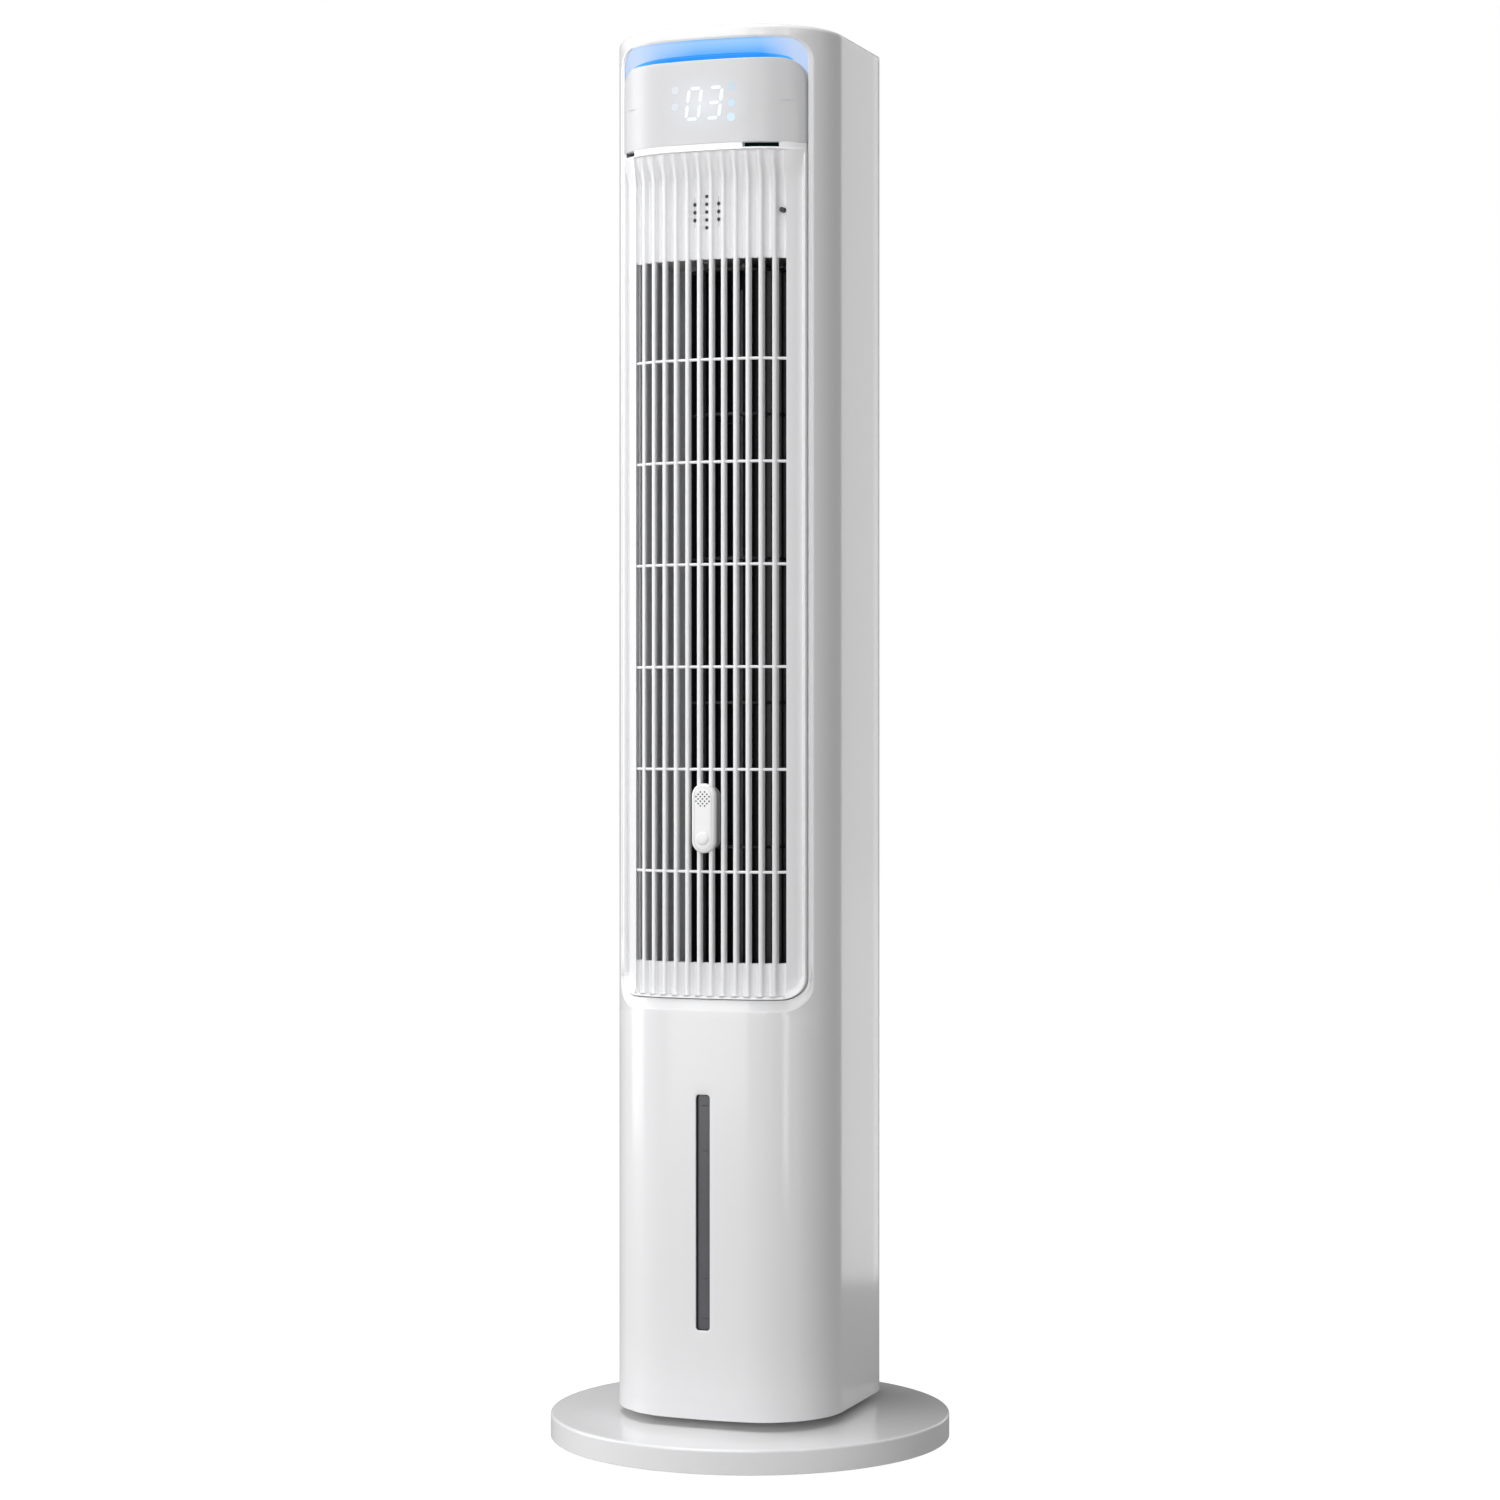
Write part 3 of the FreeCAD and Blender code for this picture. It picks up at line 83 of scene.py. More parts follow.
class TowerSizes(bpy.types.PropertyGroup):
    half_width: length("Half width", "From the middle to a flat side", 89.2)
    front_line: length("Front", "How far the front stands before the axis", 102.75)
    front_radius: length("Front radius", "Radius of the curved front", 312.4)
    corner_radius: length("Corner radius", "Radius between front and sides", 64)
    side_end: length("Side end", "Where the front shell ends behind the axis", 52)
    wall: length("Wall", "Thickness of the shells", 2.4)
    top_fillet: length("Top fillet", "Rounding of the top edge", 3.5)
    foot_radius: length("Foot radius", "Radius of the round foot", 155)
    foot_low: length("Foot skirt", "Lower edge of the foot's cover", 2)
    foot_rim: length("Foot rim", "Height of the foot's rim", 20.6)
    dome_top: length("Dome top", "Height of the foot's dome at its middle", 31)
    dome_radius: length("Dome radius", "Radius of the foot's dome", 860)
    hub_radius: length("Hub opening", "Opening in the middle of the foot's cover", 52)
    slot_pitch: length("Slot pitch", "Distance from one slot to the next", 9.6)
    slot_width: length("Slot width", "Width of one slot", 6.4)
    rib_set_back: length("Rib set-back", "How far the ribs lie behind the front", 4.0)
    rib_depth: length("Rib depth", "Depth of a rib from front to back", 5.6)
    digit_height: length("Digit height", "Height of a digit on the display", 25.2)
    digit_stroke: length("Digit stroke", "Width of a digit's bars", 2.4)


class TowerColours(bpy.types.PropertyGroup):
    shell: colour("Shell", "Gloss white of the shells", 0.80, 0.80, 0.81)
    grille: colour("Grille", "White of the grille", 0.82, 0.82, 0.83)
    display: colour("Display", "Pale grey of the display cover", 0.60, 0.60, 0.61)
    duct: colour("Duct", "Grey of the air duct", 0.82, 0.82, 0.84)
    fan: colour("Fan", "Black of the fan", 0.012, 0.012, 0.014)
    window: colour("Window", "Smoky grey of the water window", 0.10, 0.10, 0.11)
    blue: colour("Light", "Blue of the lit band", 0.01, 0.29, 0.92)
    digits: colour("Digits", "Cold white of the digits", 0.80, 0.92, 1.0)


def sizes():
    """The sizes, in metres."""
    return bpy.context.scene.tower_sizes


def colours():
    """The colours."""
    return bpy.context.scene.tower_colours


# ---- the tower's plan --------------------------------------------------------------------

class Plan:
    """The front half of the tower's plan, in millimetres.  It is an arc of the front radius,
    then on each side an arc of the corner radius that meets it smoothly, then a straight side.
    A place on it is given by the way along it from the middle of the front."""

    def __init__(self):
        size = sizes()
        self.radius = size.front_radius / MM
        self.corner = size.corner_radius / MM
        self.half = size.half_width / MM
        self.front = -size.front_line / MM
        self.end = size.side_end / MM
        self.corner_x = self.half - self.corner
        rise = math.sqrt((self.radius - self.corner) ** 2 - self.corner_x ** 2)
        self.corner_y = self.front + self.radius - rise
        self.bend = math.asin(self.corner_x / (self.radius - self.corner))
        self.way_bend = self.radius * self.bend
        self.way_side = self.way_bend + self.corner * (math.pi / 2 - self.bend)
        self.way_end = self.way_side + self.end - self.corner_y

    def at(self, way, inset):
        """x and y of a place on the plan, moved inwards along its normal by the inset."""
        along = np.abs(way)
        turn = np.where(along < self.way_bend, along / self.radius,
                        self.bend + (along - self.way_bend) / self.corner)
        turn = np.minimum(turn, math.pi / 2)
        in_front = along < self.way_bend
        centre_x = np.where(in_front, 0, self.corner_x)
        centre_y = np.where(in_front, self.front + self.radius, self.corner_y)
        reach = np.where(in_front, self.radius, self.corner) - inset
        x = centre_x + reach * np.sin(turn)
        y = centre_y - reach * np.cos(turn) + np.maximum(along - self.way_side, 0)
        return np.sign(way) * x, y

    def way(self, x, inset):
        """The way along the plan at which its inset line has this x."""
        across = np.abs(x)
        front = np.arcsin(np.clip(across / (self.radius - inset), 0, 1))
        corner = np.arcsin(np.clip((across - self.corner_x) / (self.corner - inset), -1, 1))
        far = self.way_bend + self.corner * (corner - self.bend)
        return np.sign(x) * np.where(front < self.bend, self.radius * front, far)

    def face(self, x, inset):
        """y of the inset line at this x."""
        return self.at(self.way(x, inset), inset)[1]

    def points(self, x, z, inset, depth=0.0):
        """Points at x and z on the inset line, pushed straight back by the depth."""
        x, z, inset, depth = np.broadcast_arrays(x, z, inset, depth)
        return np.stack([x, self.face(x, inset) + depth, z], axis=-1)

    def wrapped(self, way, z, inset):
        """Points at a way along the plan, moved inwards along its normal."""
        way, z, inset = np.broadcast_arrays(way, z, inset)
        x, y = self.at(way, inset)
        return np.stack([x, y, z], axis=-1)


# ---- meshes ------------------------------------------------------------------------------

WELD_KEYS = 1000            # steps in a millimetre at which points are welded


class Surface:
    """Grids of points, each a patch, that are welded into one mesh."""

    def __init__(self):
        self.points = []
        self.faces = []
        self.count = 0

    def grid(self, points, closed=False, flip=False, keep=None):
        """A patch of four-sided faces between neighbouring points of a grid of rows and
        columns.  Closed joins its last column to its first.  Keep is a mask of its cells."""
        rows, columns = points.shape[:2]
        index = np.arange(rows * columns).reshape(rows, columns) + self.count
        if closed:
            index = np.concatenate([index, index[:, :1]], axis=1)
        faces = np.stack([index[:-1, :-1], index[:-1, 1:], index[1:, 1:], index[1:, :-1]], axis=-1)
        if keep is not None:
            faces = faces[keep]
        faces = faces.reshape(-1, 4)
        self.points.append(points.reshape(-1, 3))
        self.faces.append(faces[:, ::-1] if flip else faces)
        self.count += rows * columns
        return self

    def cap(self, loop, flip=False):
        """A fan of triangles from the middle of a closed loop to its edge."""
        middle = loop.mean(axis=0, keepdims=True)
        rows = np.stack([np.repeat(middle, len(loop), axis=0), loop])
        return self.grid(rows, closed=True, flip=flip)

    def mesh(self, name):
        """One mesh in metres.  Points closer than a micrometre are made one.  A corner that then
        repeats an earlier one of its face is dropped, and so is a face with under three left."""
        points = np.concatenate(self.points)
        faces = np.concatenate(self.faces)
        keys = np.round(points * WELD_KEYS).astype(np.int64)
        first, same = np.unique(keys, axis=0, return_index=True, return_inverse=True)[1:]
        faces = same.reshape(-1)[faces]
        repeats = np.tril(faces[:, :, None] == faces[:, None, :], -1).any(axis=2)
        count = (~repeats).sum(axis=1)
        kept = faces[~repeats & (count > 2)[:, None]]
        used, kept = np.unique(kept, return_inverse=True)
        ends = np.cumsum(count[count > 2])[:-1]
        mesh = bpy.data.meshes.new(name)
        mesh.from_pydata(points[first][used] * MM, [],
                         [ring.tolist() for ring in np.split(kept.reshape(-1), ends)])
        mesh.validate()
        return mesh


def make_piece(name, surface, body, slot, smooth=40, replaced=(), finish=None):
    """Puts a surface into the scene as one piece, hangs it on the empty of the body it rides on and
    hides the parts it replaces.  It wears its slot's finish unless another is named.  Edges over the smooth
    angle stay sharp."""
    mesh = surface.mesh(name)
    piece = bpy.data.objects.new(name, mesh)
    bpy.context.scene.collection.objects.link(piece)
    mesh.shade_smooth()
    mesh.set_sharp_from_angle(angle=math.radians(smooth))
    mesh.materials.append(FINISHES[finish or slot])
    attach(piece, body)
    if replaced:
        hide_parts(*replaced)
    return piece


def thicken(piece, wall):
    """Gives a sheet a wall on its inner side."""
    solid = piece.modifiers.new("wall", "SOLIDIFY")
    solid.thickness = wall
    solid.offset = -1
    solid.use_even_offset = False


CORNER_STEPS = 6
SHELL_REACH = 12.0          # how far the corners of the front shell's loops reach
SHARP = 0.4                 # a corner's radius under this share of its reach counts as none


def half_corner(radius, reach):
    """Steps from the middle of a rounded corner to one of its sides, as distances from the
    sharp corner along that side and across it.  A radius of zero gives even steps of reach."""
    if radius > SHARP * reach:
        angle = np.linspace(math.pi / 4, math.pi / 2, CORNER_STEPS)
        along = radius * (1 - np.cos(angle))
        across = radius * (1 - np.sin(angle))
        return along, across
    along = np.linspace(0, reach, CORNER_STEPS)
    return along, np.zeros(CORNER_STEPS)


def frame_loop(half, low, high, low_corner, high_corner, columns, rows, reach=SHELL_REACH):
    """x and z around an upright rounded rectangle, from its lower left corner to the right and
    round.  The same columns and rows are used on all loops, so that loops can be joined."""
    la, lc = half_corner(low_corner, reach)
    ha, hc = half_corner(high_corner, reach)
    x = [-half + la, columns, half - la[::-1],
         half - lc[1:], np.full(len(rows), half), half - hc[::-1],
         half - ha[1:], columns[::-1], -half + ha[::-1],
         -half + hc[1:], np.full(len(rows), -half), -half + lc[:0:-1]]
    z = [low + lc, np.full(len(columns), low), low + lc[::-1],
         low + la[1:], rows, high - ha[::-1],
         high - hc[1:], np.full(len(columns), high), high - hc[::-1],
         high - ha[1:], rows[::-1], low + la[:0:-1]]
    return np.concatenate(x), np.concatenate(z)


def joined(parts):
    """Several rows of numbers as one, in order and without repeats."""
    return np.unique(np.round(np.concatenate(parts), 6))


# ---- the shells --------------------------------------------------------------------------

# Upright rounded rectangles: half width, low and high edge, radius of low and high corners.
OPENING = (74.5, 346.9, 1069.0, 15.5, 15.0)
RECESS = (77.8, 338.6, 1069.3, 18.5, 16.0)
WINDOW = (5.5, 98.2, 275.3, 2.5, 2.5)

# What the front shell's patches meet at: the edge round the recess and round the window.
RECESS_EDGE = (81.6, 334.0, 1071.6, 0.0, 0.0)
WINDOW_EDGE = (9.5, 92.0, 281.5, 0.0, 0.0)
WINDOW_REACH = 2.5

# How a rounded rectangle runs into the shell: how much it is grown, and its inset.
RECESS_PROFILE = ((0.9, 0.0), (0.35, 0.04), (0.0, 0.16), (-0.5, 0.42), (-1.2, 0.85))
OPENING_PROFILE = ((0.9, 1.32), (0.35, 1.62), (0.1, 1.8), (0.0, 2.15), (0.0, 4.6))
WINDOW_PROFILE = ((1.0, 0.0), (0.5, 0.06), (0.15, 0.3), (0.0, 0.7), (0.0, 2.6))
SEAM_WIDTH, SEAM_INSET = 0.5, 0.35      # the rounding where the shell meets the rear casing
LIP_WIDTH, LIP_DEPTH = 5.0, 5.0         # the top's lip, inwards and down


def grown(shape, by):
    """A rounded rectangle with every edge moved outwards."""
    half, low, high, low_corner, high_corner = shape
    return half + by, low - by, high + by, low_corner + by, high_corner + by


def ring_patch(surface, plan, loops, columns, rows, reach=SHELL_REACH):
    """A patch between rounded rectangles, each with its own inset from the front."""
    lines = []
    for shape, inset in loops:
        x, z = frame_loop(*shape, columns, rows, reach)
        lines.append(plan.points(x, z, inset))
    surface.grid(np.stack(lines), closed=True)


def front_shell():
    """The front shell: the plan carried upwards, with a dished recess round a tall opening, a
    slot for the water window, a rounded lip on top and a small rounding at its lower edge."""
    plan = Plan()
    surface = Surface()
    edge_half, edge_low, edge_high = RECESS_EDGE[:3]
    window_half, window_low, window_high = WINDOW_EDGE[:3]
    window_rows = np.linspace(112, 262, 7)
    window_columns = np.linspace(-2.6, 2.6, 5)
    window_x, window_z = frame_loop(*WINDOW_EDGE, window_columns, window_rows, WINDOW_REACH)
    columns = joined([np.linspace(-COLUMN_REACH, -window_half, 14),
                      window_x[np.isclose(window_z, window_low)],
                      np.linspace(window_half, COLUMN_REACH, 14)])
    rows = np.linspace(362, 1052, 24)
    loops = [(RECESS_EDGE, 0.0)]
    loops += [(grown(RECESS, by), inset) for by, inset in RECESS_PROFILE]
    loops += [(grown(OPENING, by), inset) for by, inset in OPENING_PROFILE]
    ring_patch(surface, plan, loops, columns, rows)
    loops = [(WINDOW_EDGE, 0.0)] + [(grown(WINDOW, by), inset) for by, inset in WINDOW_PROFILE]
    ring_patch(surface, plan, loops, window_columns, window_rows, WINDOW_REACH)

    # The sides, from the recess's edge to the seam.
    edge_x, edge_z = frame_loop(*RECESS_EDGE, columns, rows)
    front_x = joined([edge_x[np.isclose(edge_z, edge_low)]])
    side_rows = joined([edge_z[np.isclose(edge_x, edge_half)]])
    edge_way = float(plan.way(np.array(edge_half), 0.0))
    side_ways = np.concatenate([np.linspace(edge_way, plan.way_side, 9)[:-1],
                                np.linspace(plan.way_side, plan.way_end - 0.8, 6),
                                [plan.way_end - 0.3, plan.way_end]])
    past_seam = side_ways - plan.way_end + SEAM_WIDTH
    side_inset = np.where(past_seam > 0, SEAM_INSET * past_seam / SEAM_WIDTH, 0)
    surface.grid(plan.wrapped(side_ways[None], side_rows[:, None], side_inset[None]))
    surface.grid(plan.wrapped(-side_ways[None], side_rows[:, None], side_inset[None]), flip=True)

    # Below the recess, all the way round, but for the window's cells.
    front_ways = plan.way(front_x, 0.0)
    window_side = window_z[np.isclose(window_x, window_half)]
    ways = np.concatenate([-side_ways[::-1], front_ways[1:-1], side_ways])
    edge = np.concatenate([side_inset[::-1], np.zeros(len(front_x) - 2), side_inset])
    low_rows = np.concatenate([[BOTTOM_Z, BOTTOM_Z + 0.3, BOTTOM_Z + 1.0], np.linspace(50, 80, 3),
                               window_side, [300.0, 318.0, edge_low]])
    low_inset = np.concatenate([[1.0, 0.3], np.zeros(len(low_rows) - 2)])
    middle_way = 0.5 * (ways[:-1] + ways[1:])
    middle_row = 0.5 * (low_rows[:-1] + low_rows[1:])
    window_way = float(plan.way(np.array(window_half), 0.0))
    in_width = np.abs(middle_way)[None] < window_way
    in_height = ((middle_row > window_low) & (middle_row < window_high))[:, None]
    points = plan.wrapped(ways[None], low_rows[:, None], low_inset[:, None] + edge[None])
    surface.grid(points, keep=~(in_width & in_height))

    # Above the recess: a quarter round into the lip, which turns down again.
    fillet = sizes().top_fillet / MM
    turn = np.linspace(0, math.pi / 2, 8)
    lip_rows = np.concatenate([[edge_high], TOP_Z - fillet * (1 - np.sin(turn)),
                               [TOP_Z, TOP_Z - 0.4, TOP_Z - LIP_DEPTH]])
    lip_inset = np.concatenate([[0], fillet * (1 - np.cos(turn)),
                                [LIP_WIDTH - 0.4, LIP_WIDTH, LIP_WIDTH]])
    lip_inset = np.maximum(lip_inset[:, None], edge[None])
    surface.grid(plan.wrapped(ways[None], lip_rows[:, None], lip_inset))
    piece = make_piece("front_shell", surface, "tower", "shell_white", replaced=["front_casing"])
    thicken(piece, sizes().wall)
    return piece


FOOT_STEPS = 192


def foot_cover():
    """The foot's cover: a closed wall turned about the upright axis, with a shallow dome whose
    arc runs from the hub to a rounded rim, a straight skirt, and an inner side below it."""
    size = sizes()
    radius, rim, low = size.foot_radius / MM, size.foot_rim / MM, size.foot_low / MM
    hub, top, bow = size.hub_radius / MM, size.dome_top / MM, size.dome_radius / MM
    wall, fillet = 2.5, 2.0
    turn = np.linspace(0, math.pi / 2, 8)

    def dome(start, end, count):
        """An arc of the dome's radius from one place to another, bowed upwards."""
        start, end = np.array(start), np.array(end)
        chord = end - start
        middle = (start + end) / 2
        normal = np.array([chord[1], -chord[0]]) / np.linalg.norm(chord)
        centre = middle + normal * math.sqrt(bow ** 2 - (chord @ chord) / 4)
        first = math.atan2(*(start - centre)[::-1])
        last = math.atan2(*(end - centre)[::-1])
        angle = np.linspace(first, last, count)
        return centre + bow * np.stack([np.cos(angle), np.sin(angle)], axis=1)

    skirt = np.stack([np.full(4, radius), np.linspace(low + 2, rim - fillet - 1, 4)], axis=1)
    rounded = np.stack([radius - fillet * (1 - np.cos(turn)), rim - fillet * (1 - np.sin(turn))], axis=1)
    inner_side = dome((radius - 5, rim - wall - 0.4), (hub, top - wall), 10)
    profile = np.concatenate([
        [[radius - wall, low + 0.2], [radius - wall + 0.3, low], [radius - 0.4, low], [radius, low + 0.4]],
        skirt, rounded,
        dome((radius - fillet, rim), (hub + 0.5, top - 0.02), 24)[1:],
        [[hub, top - 0.5], [hub, top - wall]],
        inner_side[-2:0:-1],
        [[radius - 3.4, rim - wall - 0.6], [radius - wall, rim - wall - 2]],
    ])
    around = np.linspace(0, 2 * math.pi, FOOT_STEPS + 1)[:-1]
    x = profile[:, 0, None] * np.cos(around)
    y = profile[:, 0, None] * np.sin(around)
    z = np.broadcast_to(profile[:, 1, None], x.shape)
    surface = Surface()
    points = np.stack([x, y, z], axis=-1)
    surface.grid(np.concatenate([points, points[:1]]), closed=True)
    return make_piece("foot_cover", surface, "base", "shell_white", smooth=35, replaced=["base_cover"])


# ---- the grille --------------------------------------------------------------------------

GRILLE = (73.9, 347.5, 986.0, 15.0, 1.2)
LOOP_REACH = 4.0                        # how far the corners of the grille's loops reach
FIELD_HALF = 60.8                       # the field of ribs
FIELD_LOW, FIELD_HIGH = 349.9, 984.0
SLOT_LOW, SLOT_HIGH = 374.2, 903.9      # the slots that are open to the duct
SLANT_LOW = 965.0                       # from here up the ribs come forward
FLUSH = 0.3                             # how far the rim lies behind the front
SIDE_START, SIDE_SLOPE = 73.2, 2.6      # where the rim ends, and how wide the slope is
LOW_START, LOW_SLOPE = 348.2, 1.6
CORNER_MIDDLE = (73.9 - 15.0, 347.4 + 15.0)
CORNER_START, CORNER_SLOPE = 14.2, 5.0
SLANT_ABOVE = 0.4                       # how far over the field the slant meets the rim
VALLEY_DEPTH, VALLEY_EDGE = 5.0, 1.2    # depth of a valley at its middle and at the ribs
VALLEY_ABOVE, VALLEY_LEAST = 5.0, 0.25  # how far over the field valleys end; least share
FRAME_PROFILE = ((0.0, 6.0), (0.0, 0.75), (-0.12, 0.45), (-0.45, FLUSH))
FRAME_SHARES = (0.06, 0.12, 0.17, 0.22, 0.3, 0.5, 0.75, 1.0)
SLANT_ROWS = [960.0, 963.0, 964.4, 965.6, 967.0, 970.0, 974.0, 978.0]
RIB_ROUND, RIB_FLANK = 1.25, 3.0        # rounding of a rib's front, and where its flank starts
RIB_ROWS = [958.0, 962.0, 964.0, 966.0, 968.0, 972.0, 978.0]
BAR_LEVELS = 442.7 + 77.1 * np.arange(6)
BAR_RADIUS, BAR_DEPTH = 1.1, 2.1
SOUND_LEVEL, SOUND_PITCH = 939.6, 5.9   # the speaker's holes
SOUND_HOLE, RECEIVER_HOLE = 1.35, 1.95
RECEIVER_REACH = 3.2
CELL_STEPS = 6


def grille_inset(x, z):
    """How far the grille lies behind the front: nothing at its rim, and the ribs' set-back in
    its field, with straight slopes between, a long one at the top and short ones elsewhere."""
    across = np.abs(x)
    side = (SIDE_START - across) / SIDE_SLOPE
    top = (FIELD_HIGH + SLANT_ABOVE - z) / (FIELD_HIGH + SLANT_ABOVE - SLANT_LOW)
    reach_x = np.maximum(across - CORNER_MIDDLE[0], 0)
    reach_z = np.maximum(CORNER_MIDDLE[1] - z, 0)
    corner = (CORNER_START - np.hypot(reach_x, reach_z)) / CORNER_SLOPE
    bottom = (z - LOW_START) / LOW_SLOPE
    near_corner = (reach_x > 0) & (reach_z > 0)
    lowest = np.minimum(np.minimum(side, top), np.where(near_corner, corner, bottom))
    return FLUSH + (sizes().rib_set_back / MM - FLUSH) * np.clip(lowest, 0, 1)


def valley_depth(x, z):
    """Depth of a valley behind the fronts of the ribs: a bow across each slot, and shallower
    towards the top."""
    pitch = sizes().slot_pitch / MM
    half = sizes().slot_width / MM / 2
    across = (x - pitch * np.round(x / pitch)) / half
    bow = 1 - np.clip(np.abs(across), 0, 1) ** 2
    end = FIELD_HIGH + VALLEY_ABOVE
    share = np.clip((end - z) / (end - SLANT_LOW), VALLEY_LEAST, 1)
    return (VALLEY_EDGE + (VALLEY_DEPTH - VALLEY_EDGE) * bow) * share


def slot_centres():
    """x of the middles of the slots, at even steps."""
    pitch = sizes().slot_pitch / MM
    return pitch * np.arange(-6, 7)


def grille_frame(surface, plan):
    """The rim and the plain sides: loops from the outer edge to the field of ribs."""
    columns = np.linspace(-COLUMN_REACH, COLUMN_REACH, 59)
    rows = joined([np.linspace(364, 955, 30), SLANT_ROWS])

    def loop(shape):
        return frame_loop(*shape, columns, rows, LOOP_REACH)

    lines = [plan.points(*loop(grown(GRILLE, by)), inset) for by, inset in FRAME_PROFILE]
    start_x, start_z = loop(grown(GRILLE, -0.9))
    end_x, end_z = loop((FIELD_HALF, FIELD_LOW, FIELD_HIGH, 0.0, 0.0))
    for share in (0.0, *FRAME_SHARES):
        x = start_x + share * (end_x - start_x)
        z = start_z + share * (end_z - start_z)
        lines.append(plan.points(x, z, grille_inset(x, z)))
    surface.grid(np.stack(lines), closed=True)

    corner_rows = FIELD_LOW + LOOP_REACH / (CORNER_STEPS - 1) * np.arange(1, CORNER_STEPS)
    wall_rows = np.concatenate([[FIELD_LOW], corner_rows, rows, [FIELD_HIGH]])
    depths = np.array([0.0, VALLEY_DEPTH, sizes().rib_depth / MM])
    for side in (-1, 1):
        x = np.full((len(depths), len(wall_rows)), side * FIELD_HALF)
        points = plan.points(x, wall_rows[None], grille_inset(x, wall_rows[None]), depths[:, None])
        surface.grid(points, flip=side > 0)


def grille_ribs(surface, plan):
    """Each rib is one section, with a rounded front, carried along the height while its front
    follows the grille's inset."""
    half = (sizes().slot_pitch - sizes().slot_width) / MM / 2
    depth = sizes().rib_depth / MM
    turn = np.linspace(0, math.pi / 2, 4)
    round_across = RIB_ROUND * (1 - np.cos(turn))
    round_back = RIB_ROUND * (1 - np.sin(turn))
    across = np.concatenate([[-half, -half], -half + round_across, half - round_across[::-1], [half, half]])
    back = np.concatenate([[depth, RIB_FLANK], round_back, round_back[::-1], [RIB_FLANK, depth]])
    rows = joined([np.linspace(FIELD_LOW, 952, 24), RIB_ROWS, [FIELD_HIGH + 0.3]])
    for centre in slot_centres()[:-1] + sizes().slot_pitch / MM / 2:
        x = np.broadcast_to(centre + across, (len(rows), len(across)))
        z = np.broadcast_to(rows[:, None], x.shape)
        inset = grille_inset(np.full_like(x, centre), z)
        points = plan.points(x, z, inset, back[None])
        surface.grid(points, closed=True)
        surface.cap(points[0], flip=False)
        surface.cap(points[-1], flip=True)


def pierced_cell(surface, cell, hole, place, inner):
    """A rectangular cell with a round hole: rings of points from its edge to the hole, and the
    hole's own wall behind them.  Place turns x, z and a depth into points."""
    left, right, low, high = cell
    x0, z0, radius = hole
    steps = np.arange(CELL_STEPS) / CELL_STEPS
    still = np.zeros(CELL_STEPS)
    edge_x = np.concatenate([left + (right - left) * steps, right + still,
                             right - (right - left) * steps, left + still])
    edge_z = np.concatenate([low + still, low + (high - low) * steps,
                             high + still, high - (high - low) * steps])
    away = np.stack([edge_x - x0, edge_z - z0])
    away = away / np.hypot(*away)
    rings = [place(edge_x, edge_z, 0.0)]
    for share in (0.35, 0.7):
        rings.append(place(edge_x + share * (x0 + (radius + 0.3) * away[0] - edge_x),
                           edge_z + share * (z0 + (radius + 0.3) * away[1] - edge_z), 0.0))
    for grow, depth in ((0.3, 0.0), (0.08, 0.08), (0.0, 0.3), (0.0, inner)):
        rings.append(place(x0 + (radius + grow) * away[0], z0 + (radius + grow) * away[1], depth))
    surface.grid(np.stack(rings), closed=True)


def grille_floor(surface, plan):
    """The floors of the blind ends, with the speaker's holes and the receiver's hole in them."""
    pitch, half = sizes().slot_pitch / MM, sizes().slot_width / MM / 2
    depth = sizes().rib_depth / MM

    def place(x, z, back):
        x, z = np.broadcast_arrays(x, z)
        return plan.points(x, z, grille_inset(x, z), valley_depth(x, z) + back)

    holes = []
    for column, count in ((-1, 3), (0, 5), (1, 3)):
        for row in range(count):
            level = SOUND_LEVEL + (row - (count - 1) / 2) * SOUND_PITCH
            holes.append((column * pitch, level, SOUND_HOLE, SOUND_PITCH / 2))
    holes.append((6 * pitch, SOUND_LEVEL, RECEIVER_HOLE, RECEIVER_REACH))
    shares = (-1, -0.92, -0.75, -0.4, 0, 0.4, 0.75, 0.92, 1)
    columns = joined([slot_centres() + share * half for share in shares])
    rows = joined([[SLOT_HIGH, 912.0], [963.0, 965.0, 967.0, 975.0, FIELD_HIGH],
                   SOUND_LEVEL + SOUND_PITCH * np.arange(-2.5, 3),
                   [SOUND_LEVEL - RECEIVER_REACH, SOUND_LEVEL + RECEIVER_REACH]])
    middle_x = (columns[:-1] + columns[1:]) / 2
    middle_z = (rows[:-1] + rows[1:]) / 2
    keep = np.ones((len(middle_z), len(middle_x)), bool)
    for x, z, radius, reach in holes:
        keep &= ~((np.abs(middle_x - x) < half)[None] & (np.abs(middle_z - z) < reach)[:, None])
        pierced_cell(surface, (x - half, x + half, z - reach, z + reach), (x, z, radius), place, 3.5)
    surface.grid(place(columns[None], rows[:, None], 0.0), keep=keep)
    low_rows = np.array([FIELD_LOW, 351.0, 354.0, 360.0, SLOT_LOW])
    surface.grid(place(columns[None], low_rows[:, None], 0.0))
    for level, start, end, flip in (
            (SLOT_HIGH, 0.0, depth, False), (SLOT_LOW, 0.0, depth, True),
            (FIELD_HIGH, -VALLEY_DEPTH, 0.0, False), (FIELD_LOW, -VALLEY_DEPTH, 0.0, True)):
        row = np.full(len(columns), level)
        surface.grid(np.stack([place(columns, row, start), place(columns, row, end)]), flip=flip)


